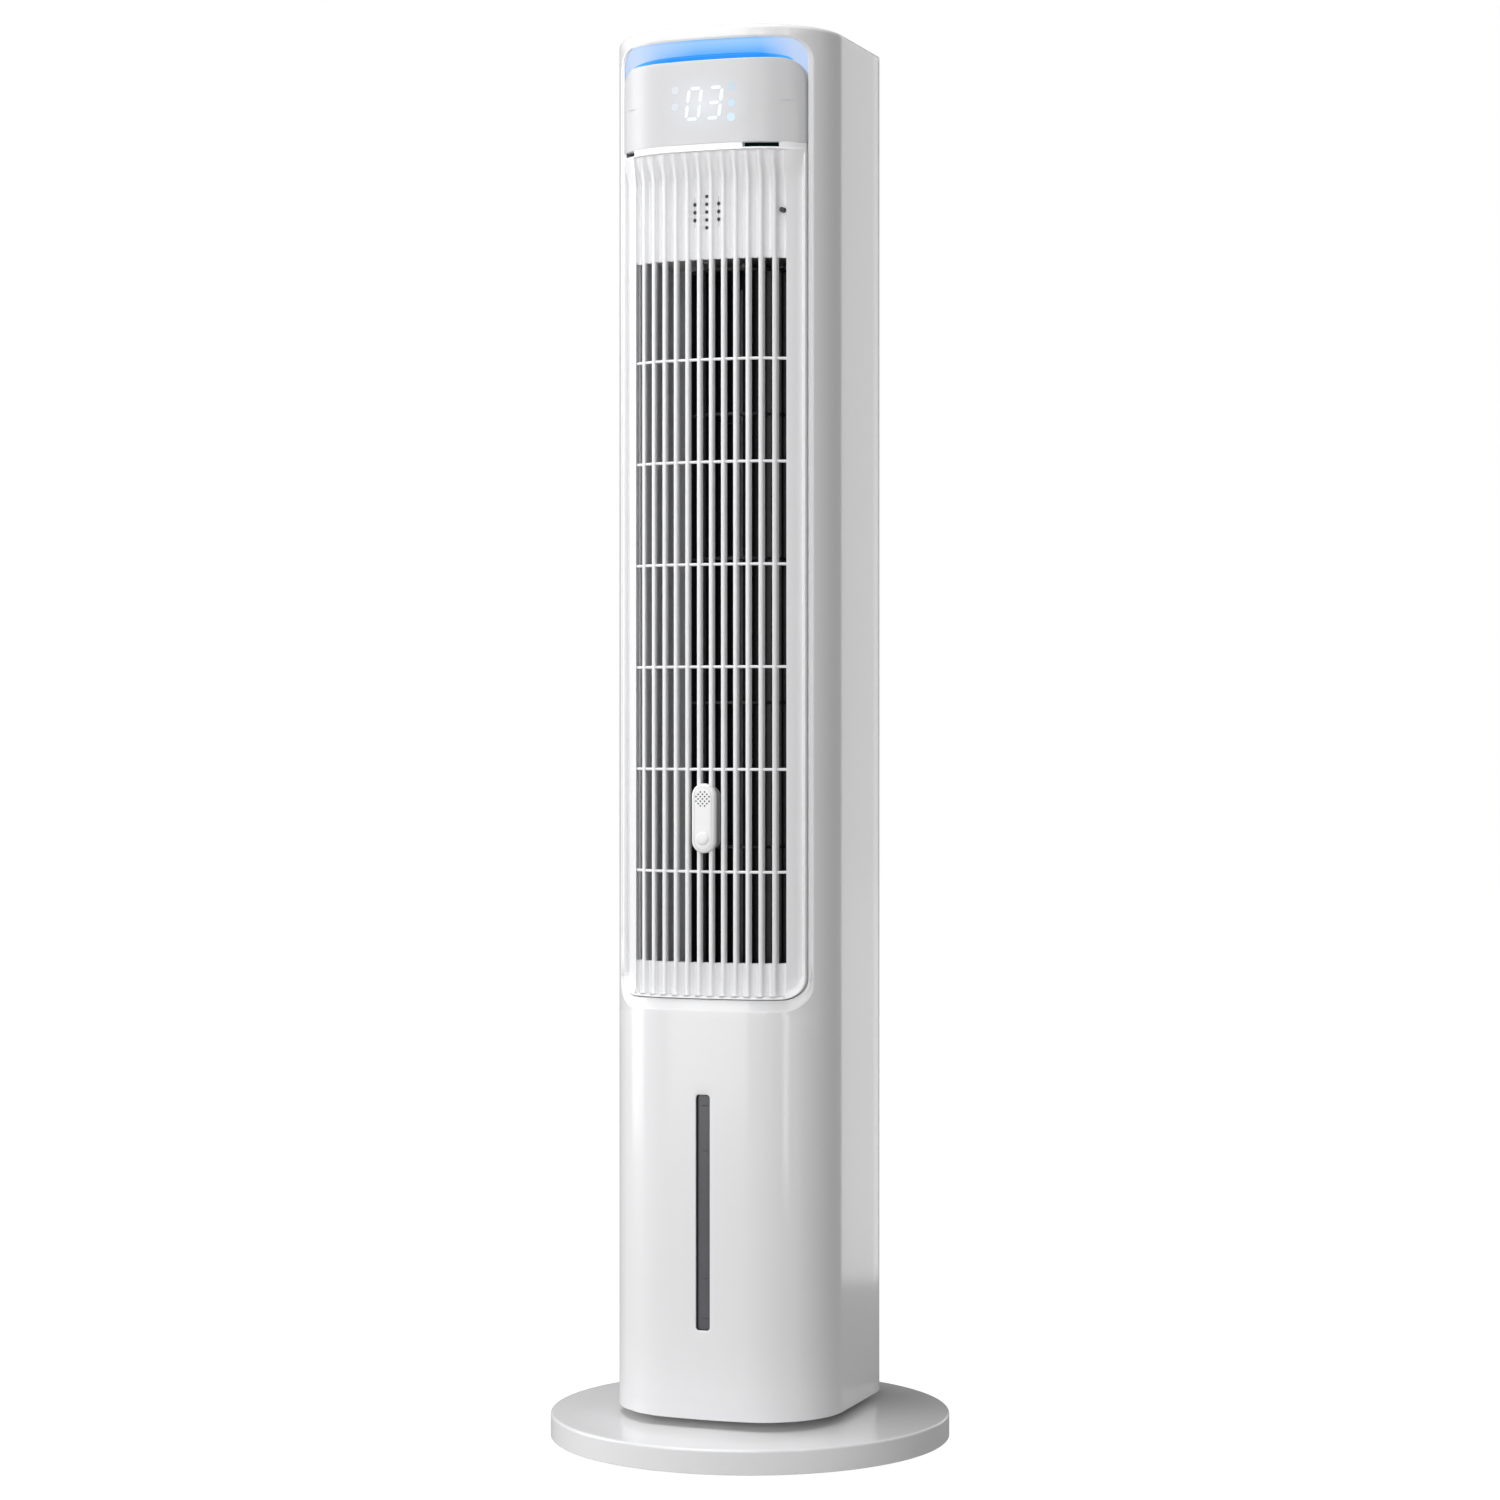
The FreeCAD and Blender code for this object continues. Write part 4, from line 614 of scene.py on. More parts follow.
def sound_hole_shade():
    """A dark sheet behind the small holes: painted shade that stands in for the shadow deep inside them, so
    that they read as deep.
    """
    plan = Plan()
    surface = Surface()
    half_height, behind, thickness = 16, 2.6, 0.6
    x = np.linspace(-COLUMN_REACH, 61.5, 41)
    z = np.array([[SOUND_LEVEL - half_height], [SOUND_LEVEL + half_height]])
    near = plan.points(x, z, sizes().rib_set_back / MM, VALLEY_DEPTH + behind)
    far = near + np.array([0.0, thickness, 0.0])
    surface.grid(np.stack([near[0], near[1], far[1], far[0], near[0]]))
    surface.grid(np.stack([near[:, 0], far[:, 0]]))
    surface.grid(np.stack([near[:, -1], far[:, -1]]), flip=True)
    # Painted shade: a black sheet where the holes would only show shadow.
    return make_piece("sound_hole_shade", surface, "tower", "fan_black", smooth=30)


def grille_bars(surface, plan):
    """Six thin level bars with a round front, just behind the fronts of the ribs."""
    set_back = sizes().rib_set_back / MM
    angle = np.linspace(0, 2 * math.pi, 13)[:-1]
    x = np.linspace(-FIELD_HALF - 0.6, FIELD_HALF + 0.6, 61)
    for level in BAR_LEVELS:
        ring_x = np.broadcast_to(x[:, None], (len(x), len(angle)))
        depth = BAR_DEPTH - BAR_RADIUS * np.cos(angle)
        z = level + BAR_RADIUS * np.sin(angle)
        points = plan.points(ring_x, z[None], set_back, depth[None])
        surface.grid(points, closed=True, flip=True)
        surface.cap(points[0], flip=True)
        surface.cap(points[-1], flip=False)


def front_grille():
    """The whole slatted grille: its frame, blind ends, ribs and level bars as one mesh."""
    plan = Plan()
    surface = Surface()
    grille_frame(surface, plan)
    grille_floor(surface, plan)
    grille_ribs(surface, plan)
    grille_bars(surface, plan)
    return make_piece("slatted_grille", surface, "tower", "grille_white", smooth=32,
                      replaced=["front_grille"])


# ---- the display and the light -----------------------------------------------------------

DISPLAY = (73.9, 989.6, 1052.8, 1.0, 15.0)
DISPLAY_PROFILE = ((0.0, 5.5), (0.0, 1.1), (-0.1, 0.7), (-0.35, 0.42), (-0.8, FLUSH))
DISPLAY_COLUMNS = np.linspace(-COLUMN_REACH, COLUMN_REACH, 49)
DISPLAY_ROWS = np.linspace(994, 1036, 9)
DISPLAY_REACH = 3.5
GAPS = ((-70.5, -60.5), (31.0, 57.2))   # the dark gaps in the ledge, from left to right
LEDGE_HALF, LEDGE_LOW, LEDGE_HIGH = 73.7, 985.6, 989.9
LEDGE_STEP = 2.5


def display_loop(shape):
    """x and z round a shape, with the columns and rows that the display's loops share."""
    return frame_loop(*shape, DISPLAY_COLUMNS, DISPLAY_ROWS, DISPLAY_REACH)


def display_cover():
    """The curved cover of the display: loops from its rounded edge to its middle."""
    plan = Plan()
    surface = Surface()
    lines = [plan.points(*display_loop(grown(DISPLAY, by)), inset) for by, inset in DISPLAY_PROFILE]
    x, z = display_loop(grown(DISPLAY, DISPLAY_PROFILE[-1][0]))
    middle = (DISPLAY[1] + DISPLAY[2]) / 2
    narrowing = 0.02
    for share in np.linspace(0.1, 1.0, 10):
        across, up = x * (1 - narrowing * share), middle + (z - middle) * (1 - share)
        lines.append(plan.points(across, up, FLUSH))
    surface.grid(np.stack(lines), closed=True)
    return make_piece("display_cover", surface, "tower", "display_grey", smooth=40,
                      replaced=["display_panel"])


def joint_ledge():
    """The white ledge between the grille and the display, with two short gaps left dark."""
    plan = Plan()
    surface = Surface()
    edges = [-LEDGE_HALF, *GAPS[0], *GAPS[1], LEDGE_HALF]
    profile_z = np.array([LEDGE_LOW, LEDGE_LOW, LEDGE_HIGH - 0.4, LEDGE_HIGH, LEDGE_HIGH])
    profile_inset = np.array([6.0, 0.9, 0.5, 0.8, 6.0])
    for left, right in zip(edges[::2], edges[1::2]):
        x = np.linspace(left, right, max(int((right - left) / LEDGE_STEP), 4))
        points = plan.points(x[None], profile_z[:, None], profile_inset[:, None])
        surface.grid(points)
        surface.cap(points[:, 0], flip=True)
        surface.cap(points[:, -1], flip=False)
    return make_piece("joint_ledge", surface, "tower", "grille_white", smooth=30)


SEGMENTS = {
    "top": (-1, 1, 1, 1), "middle": (-1, 0, 1, 0), "bottom": (-1, -1, 1, -1),
    "upper_left": (-1, 0, -1, 1), "upper_right": (1, 0, 1, 1),
    "lower_left": (-1, -1, -1, 0), "lower_right": (1, -1, 1, 0),
}
ZERO = ("top", "bottom", "upper_left", "upper_right", "lower_left", "lower_right")
THREE = ("top", "middle", "bottom", "upper_right", "lower_right")


DIGITS = ((-7.3, ZERO), (9.1, THREE))          # x of each digit's middle, and its bars
DIGIT_HALF_WIDTH, DIGIT_GAP = 5.0, 0.9         # to a bar's middle line; left free at bars' ends
DISPLAY_LEVEL = 1020.2
LEAN = math.tan(math.radians(7))

# x, height over the digits' middle and radius of the round lamps.
BRIGHT_LAMPS = ((23.0, 11.6, 3.0), (22.8, -0.8, 3.0), (22.4, -11.4, 3.3))
DIM_LAMPS = ((-22.6, 11.0, 3.0), (-22.6, -1.4, 3.0))


def lit_plate(surface, plan, x, z):
    """A thin plate on the display's face, from a closed outline of x and z: its edge, its
    front, and a ring half way to the middle."""
    rings = []
    for share, inset in ((1.0, FLUSH + 0.2), (1.0, FLUSH - 0.1), (0.5, FLUSH - 0.12)):
        ring_x = x.mean() + share * (x - x.mean())
        ring_z = z.mean() + share * (z - z.mean())
        rings.append(plan.points(ring_x, ring_z, inset))
    surface.grid(np.stack(rings), closed=True)
    surface.cap(rings[-1], flip=True)


def display_digits():
    """Two digits of bars with pointed ends, each a six-sided outline, leaning a little."""
    plan = Plan()
    surface = Surface()
    stroke = sizes().digit_stroke / MM / 2
    reach = np.array([DIGIT_HALF_WIDTH, sizes().digit_height / MM / 2 - stroke])
    for centre, bars in DIGITS:
        for bar in bars:
            start, end = np.array(SEGMENTS[bar], float).reshape(2, 2) * reach
            along = (end - start) / np.linalg.norm(end - start)
            across = np.array([-along[1], along[0]])
            start, end = start + along * DIGIT_GAP, end - along * DIGIT_GAP
            to_left, to_right = (along + across) * stroke, (along - across) * stroke
            x, z = np.array([start, start + to_right, end - to_left,
                             end, end - to_right, start + to_left]).T
            lit_plate(surface, plan, centre + x + LEAN * z, DISPLAY_LEVEL + z)
    return make_piece("display_digits", surface, "tower", "glow_white", smooth=60)


def round_lamps(name, lamps, finish):
    """Round lamps beside the digits, each a circle of plates."""
    plan = Plan()
    surface = Surface()
    angle = np.linspace(0, 2 * math.pi, 25)[:-1]
    for x, z, radius in lamps:
        lit_plate(surface, plan, x + radius * np.cos(angle), DISPLAY_LEVEL + z + radius * np.sin(angle))
    return make_piece(name, surface, "tower", "glow_white", smooth=60, finish=finish)


HOLLOW_OUTER = (74.7, 989.6, 1069.2, 1.0, 15.0)
HOLLOW_INNER = (72.0, 989.6, 1050.5, 1.0, 13.5)
HOLLOW_LOW = 996                        # the hollow starts here, beside the display
HOLLOW_EDGE, HOLLOW_DEPTH, HOLLOW_POWER = 2.6, 5.4, 1.1
BAND_HALF, BAND_LOW, BAND_HEIGHT = 64, 1052.6, 4.4
BAND_TAPER = 3.2                        # power of the band's taper
BAND_PROFILE = ((0.0, 6.5), (0.0, 3.4), (0.35, 3.0), (0.7, 3.2), (1.0, 4.2), (1.0, 6.5))


def light_recess():
    """The pale recess above the display: a hollow band between the casing's opening and the
    display's top edge.  Its inset grows by a power of a sine, so it is deepest beside the display.
    It wears painted light: a glow for the blue light that the hidden strip throws on it."""
    plan = Plan()
    surface = Surface()
    outer_x, outer_z = display_loop(HOLLOW_OUTER)
    inner_x, inner_z = display_loop(HOLLOW_INNER)
    lines = []
    for share in np.linspace(0, 1, 9):
        x = outer_x + share * (inner_x - outer_x)
        z = outer_z + share * (inner_z - outer_z)
        depth = HOLLOW_DEPTH * math.sin(share * math.pi / 2) ** HOLLOW_POWER
        lines.append(plan.points(x, z, HOLLOW_EDGE + depth))
    shown = (outer_z[:-1] + outer_z[1:]) / 2 > HOLLOW_LOW
    surface.grid(np.stack(lines), keep=np.broadcast_to(shown, (len(lines) - 1, len(shown))))
    # Painted light: the recess glows in place of the strip's light falling on it.
    return make_piece("light_recess", surface, "tower", "glow_white", smooth=60,
                      replaced=["light_reflector"], finish="recess_painted_light")


def light_band():
    """The lit band just above the display: a thin bowed strip that tapers to both ends."""
    plan = Plan()
    surface = Surface()
    x = np.linspace(-BAND_HALF, BAND_HALF, 97)
    taper = np.sqrt(np.clip(1 - (np.abs(x) / (BAND_HALF + 0.4)) ** BAND_TAPER, 0, 1))
    height = 0.3 + BAND_HEIGHT * taper
    points = np.stack([plan.points(x, BAND_LOW + height * share, inset) for share, inset in BAND_PROFILE])
    surface.grid(np.concatenate([points, points[:1]]))
    surface.cap(points[:, 0], flip=True)
    surface.cap(points[:, -1], flip=False)
    return make_piece("light_band", surface, "tower", "glow_blue", smooth=60, replaced=["light_strip"])


# ---- the capsule and the window ----------------------------------------------------------

CAPSULE_LEVEL = 483.0
CAPSULE_HALF, CAPSULE_RISE = 9.2, 26.2  # half its width and half its height
CAPSULE_BACK, CAPSULE_FACE = -97.2, -102.9
# How far each ring shrinks, and how far it lies behind the face.
CAPSULE_CROWN = ((0.15, 1.7), (0.5, 1.1), (1.1, 0.62), (1.9, 0.32), (3.0, 0.12), (4.4, 0.0), (7.0, 0.0))
BUTTON_DROP = 15.0
WINDOW_LEVELS = (107.0, 137.0, 233.0, 267.0)
LENS_INSET = 3.1
# How the painted shade on the window slot's wall is grown and set back.
WALL_SHADE_PROFILE = ((-0.05, 4.6), (-0.05, 0.9), (-0.25, 0.75), (-0.45, 1.0), (-0.45, 4.6))


def dot_lattice(surface, count, step, radius, reach, level, front):
    """Small round dots on every second place of a square lattice, within a reach of its middle.
    Each is a ring of twelve points carried straight back."""
    turn = np.linspace(0, 2 * math.pi, 13)[:-1]
    for row in range(-count, count + 1):
        for column in range(-3, 4):
            if (row + column) % 2 == 0 and math.hypot(row, column) * step < reach:
                ring = np.stack([step * column + radius * np.cos(turn), np.full(len(turn), front),
                                 level + step * row + radius * np.sin(turn)], axis=-1)
                deep = ring + np.array([0.0, 0.3, 0.0])
                surface.grid(np.stack([ring, deep]), closed=True, flip=True)
                surface.cap(ring)
                surface.cap(deep, flip=True)


def capsule_face():
    """A pill-shaped cover with a crowned face: rings of two half circles with straight sides
    between them, each smaller and further forward than the one before."""
    surface = Surface()
    face = CAPSULE_FACE
    angle = np.linspace(0, 2 * math.pi, 97)[:-1]
    flat = CAPSULE_RISE - CAPSULE_HALF
    rings = []
    for shrink, y in ((0, CAPSULE_BACK), (0, face + 2.4),
                      *((shrink, face + behind) for shrink, behind in CAPSULE_CROWN)):
        x = (CAPSULE_HALF - shrink) * np.cos(angle)
        z = (CAPSULE_HALF - shrink) * np.sin(angle) + np.where(np.sin(angle) >= 0, flat, -flat)
        rings.append(np.stack([x, np.full_like(x, y), CAPSULE_LEVEL + z], axis=-1))
    surface.grid(np.stack(rings), closed=True, flip=True)
    surface.cap(rings[-1])
    surface.cap(rings[0], flip=True)
    return make_piece("capsule_face", surface, "capsule", "capsule_white", smooth=50,
                      replaced=["capsule_cover"])


def capsule_dots(name, slot, count, step, radius, reach, rise, proud):
    """One lattice of dots on the capsule's face."""
    surface = Surface()
    dot_lattice(surface, count, step, radius, reach, CAPSULE_LEVEL + rise, CAPSULE_FACE - proud)
    return make_piece(name, surface, "capsule", slot, smooth=30)


def capsule_turned(name, slot, profile):
    """A profile of radius and forward place, turned about the level axis of the button."""
    surface = Surface()
    turn = np.linspace(0, 2 * math.pi, 49)[:-1]
    loops = [np.stack([radius * np.cos(turn), np.full(len(turn), CAPSULE_FACE - proud),
                       CAPSULE_LEVEL - BUTTON_DROP + radius * np.sin(turn)], axis=-1)
             for radius, proud in profile]
    surface.grid(np.stack(loops), closed=True, flip=True)
    surface.cap(loops[-1])
    surface.cap(loops[0], flip=True)
    return make_piece(name, surface, "capsule", slot, smooth=50)


def window_line(plan, by, inset):
    """Points round the window, moved outwards by one length and back by another."""
    columns = np.linspace(-2.4, 2.4, 5)
    rows = np.linspace(104, 270, 9)
    return plan.points(*frame_loop(*grown(WINDOW, by), columns, rows, WINDOW_REACH), inset)


def window_lens():
    """The smoky lens of the water window, sunk into its slot: its wall, then its front, which
    closes by shrinking across to a middle line."""
    plan = Plan()
    surface = Surface()
    lines = [window_line(plan, -0.3, 5.2), window_line(plan, -0.3, 3.3)]
    x, _, z = window_line(plan, -0.5, LENS_INSET).T
    for share in np.linspace(0, 1, 5):
        lines.append(plan.points(x * (1 - share), z, LENS_INSET))
    surface.grid(np.stack(lines), closed=True)
    return make_piece("window_lens", surface, "tower", "window_smoke", replaced=["water_window"])


def window_wall_shade():
    """A dark lining in the window's slot, round the lens: painted shade for the slot's wall in shadow, a
    closed section carried round the window.
    """
    plan = Plan()
    surface = Surface()
    lines = [window_line(plan, by, inset) for by, inset in WALL_SHADE_PROFILE]
    surface.grid(np.stack(lines + lines[:1]), closed=True)
    # Painted shade: black in place of the shadow on the slot's wall.
    return make_piece("window_wall_shade", surface, "tower", "fan_black")


def window_marks():
    """Four level lines on the lens, each a thin flat bar."""
    plan = Plan()
    surface = Surface()
    for level in WINDOW_LEVELS:
        x = np.array([-1.6, 4.6, 4.6, -1.6])
        z = level + np.array([-0.4, -0.4, 0.4, 0.4])
        rings = [plan.points(x, z, LENS_INSET + step) for step in (0.1, -0.1)]
        surface.grid(np.stack(rings), closed=True)
        surface.cap(rings[-1], flip=True)
        surface.cap(rings[0])
    return make_piece("window_marks", surface, "tower", "hose_rubber")


# ---- finishes ----------------------------------------------------------------------------

def new_group(name, inputs, outputs):
    """A shader node group with named sockets."""
    group = bpy.data.node_groups.new(name, "ShaderNodeTree")
    for label, kind, value in inputs:
        socket = group.interface.new_socket(label, in_out="INPUT", socket_type=kind)
        if value is not None:
            socket.default_value = value
    for label, kind in outputs:
        group.interface.new_socket(label, in_out="OUTPUT", socket_type=kind)
    return group, group.nodes.new("NodeGroupInput"), group.nodes.new("NodeGroupOutput")


def calculate(tree, operation, first, second=None):
    """A Math node whose inputs are sockets or plain numbers."""
    node = tree.nodes.new("ShaderNodeMath")
    node.operation = operation
    for socket, source in zip(node.inputs, (first, second)):
        if isinstance(source, (int, float)):
            socket.default_value = source
        elif source is not None:
            tree.links.new(source, socket)
    return node.outputs[0]


def noise(tree, vector, scale, detail=2.0, roughness=0.5):
    """A Noise Texture's value, at a scale that is a socket or a plain number."""
    node = tree.nodes.new("ShaderNodeTexNoise")
    node.inputs["Detail"].default_value = detail
    node.inputs["Roughness"].default_value = roughness
    tree.links.new(vector, node.inputs["Vector"])
    if isinstance(scale, (int, float)):
        node.inputs["Scale"].default_value = scale
    else:
        tree.links.new(scale, node.inputs["Scale"])
    return node.outputs["Fac"]


def tinted(tree, tone, factor):
    """A colour made darker or lighter by a factor."""
    node = tree.nodes.new("ShaderNodeMix")
    node.data_type = "RGBA"
    node.blend_type = "MULTIPLY"
    node.inputs["Factor"].default_value = 1.0
    tree.links.new(tone, node.inputs["A"])
    combine = tree.nodes.new("ShaderNodeCombineColor")
    for socket in combine.inputs:
        tree.links.new(factor, socket)
    tree.links.new(combine.outputs[0], node.inputs["B"])
    return node.outputs["Result"]


def moulded_group():
    """Moulded surface: fine spark grain, slow changes of tone and gloss, and dust that settles
    on what faces upwards."""
    group, source, result = new_group("moulded_surface", [
        ("Vector", "NodeSocketVector", None), ("Tone", "NodeSocketColor", (0.8, 0.8, 0.8, 1)),
        ("Grain Scale", "NodeSocketFloat", 1800.0), ("Tone Change", "NodeSocketFloat", 0.02),
        ("Gloss", "NodeSocketFloat", 0.35), ("Gloss Change", "NodeSocketFloat", 0.06),
        ("Dust", "NodeSocketFloat", 0.05)],
        [("Color", "NodeSocketColor"), ("Roughness", "NodeSocketFloat"), ("Height", "NodeSocketFloat")])
    inputs = {socket.name: socket for socket in source.outputs}
    fine = noise(group, inputs["Vector"], inputs["Grain Scale"], 3.0, 0.6)
    broad = noise(group, inputs["Vector"], 9.0, 2.0)
    specks = noise(group, inputs["Vector"], 420.0, 1.0)
    change = calculate(group, "MULTIPLY", calculate(group, "SUBTRACT", broad, 0.5), inputs["Tone Change"])
    factor = calculate(group, "ADD", calculate(group, "MULTIPLY", change, 2.0), 1.0)
    geometry = group.nodes.new("ShaderNodeNewGeometry")
    split = group.nodes.new("ShaderNodeSeparateXYZ")
    group.links.new(geometry.outputs["Normal"], split.inputs[0])
    upward = calculate(group, "POWER", calculate(group, "MAXIMUM", split.outputs[2], 0.0), 6.0)
    dusty = calculate(group, "MULTIPLY", calculate(group, "MULTIPLY", upward, specks), inputs["Dust"])
    darker = calculate(group, "SUBTRACT", factor, calculate(group, "MULTIPLY", dusty, 0.5))
    group.links.new(tinted(group, inputs["Tone"], darker), result.inputs["Color"])
    streak = calculate(group, "MULTIPLY", calculate(group, "SUBTRACT", broad, 0.5), inputs["Gloss Change"])
    rough = calculate(group, "ADD", calculate(group, "ADD", inputs["Gloss"], streak), dusty)
    group.links.new(rough, result.inputs["Roughness"])
    group.links.new(fine, result.inputs["Height"])
    return group


def brushed_group():
    """Metal: stretched noise for the tool marks and stains of handling."""
    group, source, result = new_group("worked_metal", [
        ("Vector", "NodeSocketVector", None), ("Tone", "NodeSocketColor", (0.5, 0.5, 0.5, 1)),
        ("Gloss", "NodeSocketFloat", 0.35)],
        [("Color", "NodeSocketColor"), ("Roughness", "NodeSocketFloat"), ("Height", "NodeSocketFloat")])
    inputs = {socket.name: socket for socket in source.outputs}
    stretch = group.nodes.new("ShaderNodeMapping")
    stretch.inputs["Scale"].default_value = (1, 1, 40)
    group.links.new(inputs["Vector"], stretch.inputs["Vector"])
    marks = noise(group, stretch.outputs[0], 300.0, 3.0)
    stains = noise(group, inputs["Vector"], 40.0, 3.0)
    factor = calculate(group, "ADD", calculate(group, "MULTIPLY", stains, 0.3), 0.82)
    group.links.new(tinted(group, inputs["Tone"], factor), result.inputs["Color"])
    rough = calculate(group, "ADD", inputs["Gloss"], calculate(group, "MULTIPLY", marks, 0.15))
    group.links.new(rough, result.inputs["Roughness"])
    group.links.new(marks, result.inputs["Height"])
    return group


def new_material(name):
    """A new material, with its node tree, its shader and its Object coordinates."""
    material = bpy.data.materials.new(name)
    FINISHES[name] = material
    material.use_nodes = True
    tree = material.node_tree
    shader = tree.nodes["Principled BSDF"]
    place = tree.nodes.new("ShaderNodeTexCoord")
    return material, tree, shader, place.outputs["Object"]


def bump(tree, shader, height, strength, distance):
    """Bumps a shader's normal by a height."""
    node = tree.nodes.new("ShaderNodeBump")
    node.inputs["Strength"].default_value = strength
    node.inputs["Distance"].default_value = distance
    tree.links.new(height, node.inputs["Height"])
    tree.links.new(node.outputs["Normal"], shader.inputs["Normal"])


def place_group(tree, group, vector, tone, **values):
    """A node group in a material, with its own values by the names of its inputs."""
    node = tree.nodes.new("ShaderNodeGroup")
    node.node_tree = group
    tree.links.new(vector, node.inputs["Vector"])
    node.inputs["Tone"].default_value = (*tone, 1)
    for label, value in values.items():
        node.inputs[label.replace("_", " ").title()].default_value = value
    return node


def plastic(name, tone, gloss, grain=0.12, coat=0.0, **values):
    """Moulded plastic, with a clear coat where it is high gloss."""
    material, tree, shader, vector = new_material(name)
    node = place_group(tree, bpy.data.node_groups["moulded_surface"], vector, tone, gloss=gloss, **values)
    tree.links.new(node.outputs["Color"], shader.inputs["Base Color"])
    tree.links.new(node.outputs["Roughness"], shader.inputs["Roughness"])
    bump(tree, shader, node.outputs["Height"], grain, 0.0001)
    shader.inputs["Specular IOR Level"].default_value = 0.5
    shader.inputs["Coat Weight"].default_value = coat
    shader.inputs["Coat Roughness"].default_value = 0.13
    return material


def metal(name, tone, gloss):
    """Bare metal with tool marks."""
    material, tree, shader, vector = new_material(name)
    node = place_group(tree, bpy.data.node_groups["worked_metal"], vector, tone, gloss=gloss)
    tree.links.new(node.outputs["Color"], shader.inputs["Base Color"])
    tree.links.new(node.outputs["Roughness"], shader.inputs["Roughness"])
    shader.inputs["Metallic"].default_value = 1.0
    bump(tree, shader, node.outputs["Height"], 0.1, 0.0001)
    return material


def ramp(tree, factor, stops):
    """A colour that runs through stops, each a position and a colour."""
    node = tree.nodes.new("ShaderNodeValToRGB")
    tree.links.new(factor, node.inputs["Fac"])
    elements = node.color_ramp.elements
    while len(elements) < len(stops):
        elements.new(0.5)
    for element, (position, tone) in zip(elements, stops):
        element.position = position
        element.color = (*tone, 1)
    return node.outputs["Color"]


def axis_value(tree, vector, axis, low, high):
    """One coordinate of an object, from 0 at low to 1 at high, both in metres."""
    split = tree.nodes.new("ShaderNodeSeparateXYZ")
    tree.links.new(vector, split.inputs[0])
    node = tree.nodes.new("ShaderNodeMapRange")
    node.inputs["From Min"].default_value = low
    node.inputs["From Max"].default_value = high
    tree.links.new(split.outputs[axis], node.inputs["Value"])
    return node.outputs["Result"]


def glow(name, stops, axis, low, high, strength, base=(0.8, 0.85, 0.9)):
    """A lit surface whose colour runs along one axis."""
    material, tree, shader, vector = new_material(name)
    along = ramp(tree, axis_value(tree, vector, axis, low, high), stops)
    tree.links.new(along, shader.inputs["Emission Color"])
    shader.inputs["Emission Strength"].default_value = strength
    shader.inputs["Base Color"].default_value = (*base, 1)
    shader.inputs["Specular IOR Level"].default_value = 0.2
    grain = noise(tree, vector, 900.0)
    rough = calculate(tree, "ADD", calculate(tree, "MULTIPLY", grain, 0.1), 0.35)
    tree.links.new(rough, shader.inputs["Roughness"])
    return material


def paint_recess_light():
    """Painted light on the recess above the display, which is no lamp: a glow that stands for the
    strip's blue light falling on it, in bands that run level along it, and fade to a cold
    white towards both ends."""
    material, tree, shader, vector = new_material("recess_painted_light")
    up = ramp(tree, axis_value(tree, vector, 2, 1.050, 1.0695),
              [(0.0, (0.01, 0.30, 0.95)), (0.34, (0.03, 0.34, 0.95)), (0.52, (0.12, 0.42, 0.97)),
               (0.68, (0.22, 0.50, 0.98)), (0.85, (0.29, 0.56, 1.0)), (1.0, (0.15, 0.42, 0.82))])
    across = axis_value(tree, vector, 0, -0.075, 0.075)
    fade = ramp(tree, across, [(0.0, (1, 1, 1)), (0.12, (0.95, 0.95, 0.95)), (0.24, (0.5, 0.5, 0.5)),
                               (0.45, (0, 0, 0)), (0.79, (0.0, 0.0, 0.0)), (0.88, (0.6, 0.6, 0.6)),
                               (0.93, (0.95, 0.95, 0.95))])
    node = tree.nodes.new("ShaderNodeMix")
    node.data_type = "RGBA"
    tree.links.new(fade, node.inputs["Factor"])
    tree.links.new(up, node.inputs["A"])
    node.inputs["B"].default_value = (0.52, 0.64, 0.88, 1)
    tree.links.new(node.outputs["Result"], shader.inputs["Emission Color"])
    # Painted light: an emission for the strip's light on the recess, not a lamp of its own.
    shader.inputs["Emission Strength"].default_value = 0.95
    shader.inputs["Base Color"].default_value = (0.06, 0.08, 0.10, 1)
    shader.inputs["Roughness"].default_value = 0.6
    return material


def patterned(name, tone, gloss, wave_scale, direction, depth):
    """Ribbed, woven or printed matter: bands along one axis change tone and height."""
    material, tree, shader, vector = new_material(name)
    wave = tree.nodes.new("ShaderNodeTexWave")
    wave.bands_direction = direction
    wave.inputs["Scale"].default_value = wave_scale
    wave.inputs["Distortion"].default_value = 0.6
    wave.inputs["Detail"].default_value = 1.0
    tree.links.new(vector, wave.inputs["Vector"])
    node = place_group(tree, bpy.data.node_groups["moulded_surface"], vector, tone, gloss=gloss,
                       grain_scale=700.0, tone_change=0.12)
    factor = calculate(tree, "ADD", calculate(tree, "MULTIPLY", wave.outputs["Fac"], 0.35), 0.72)
    tree.links.new(tinted(tree, node.outputs["Color"], factor), shader.inputs["Base Color"])
    tree.links.new(node.outputs["Roughness"], shader.inputs["Roughness"])
    bump(tree, shader, wave.outputs["Fac"], 0.5, depth)
    return material


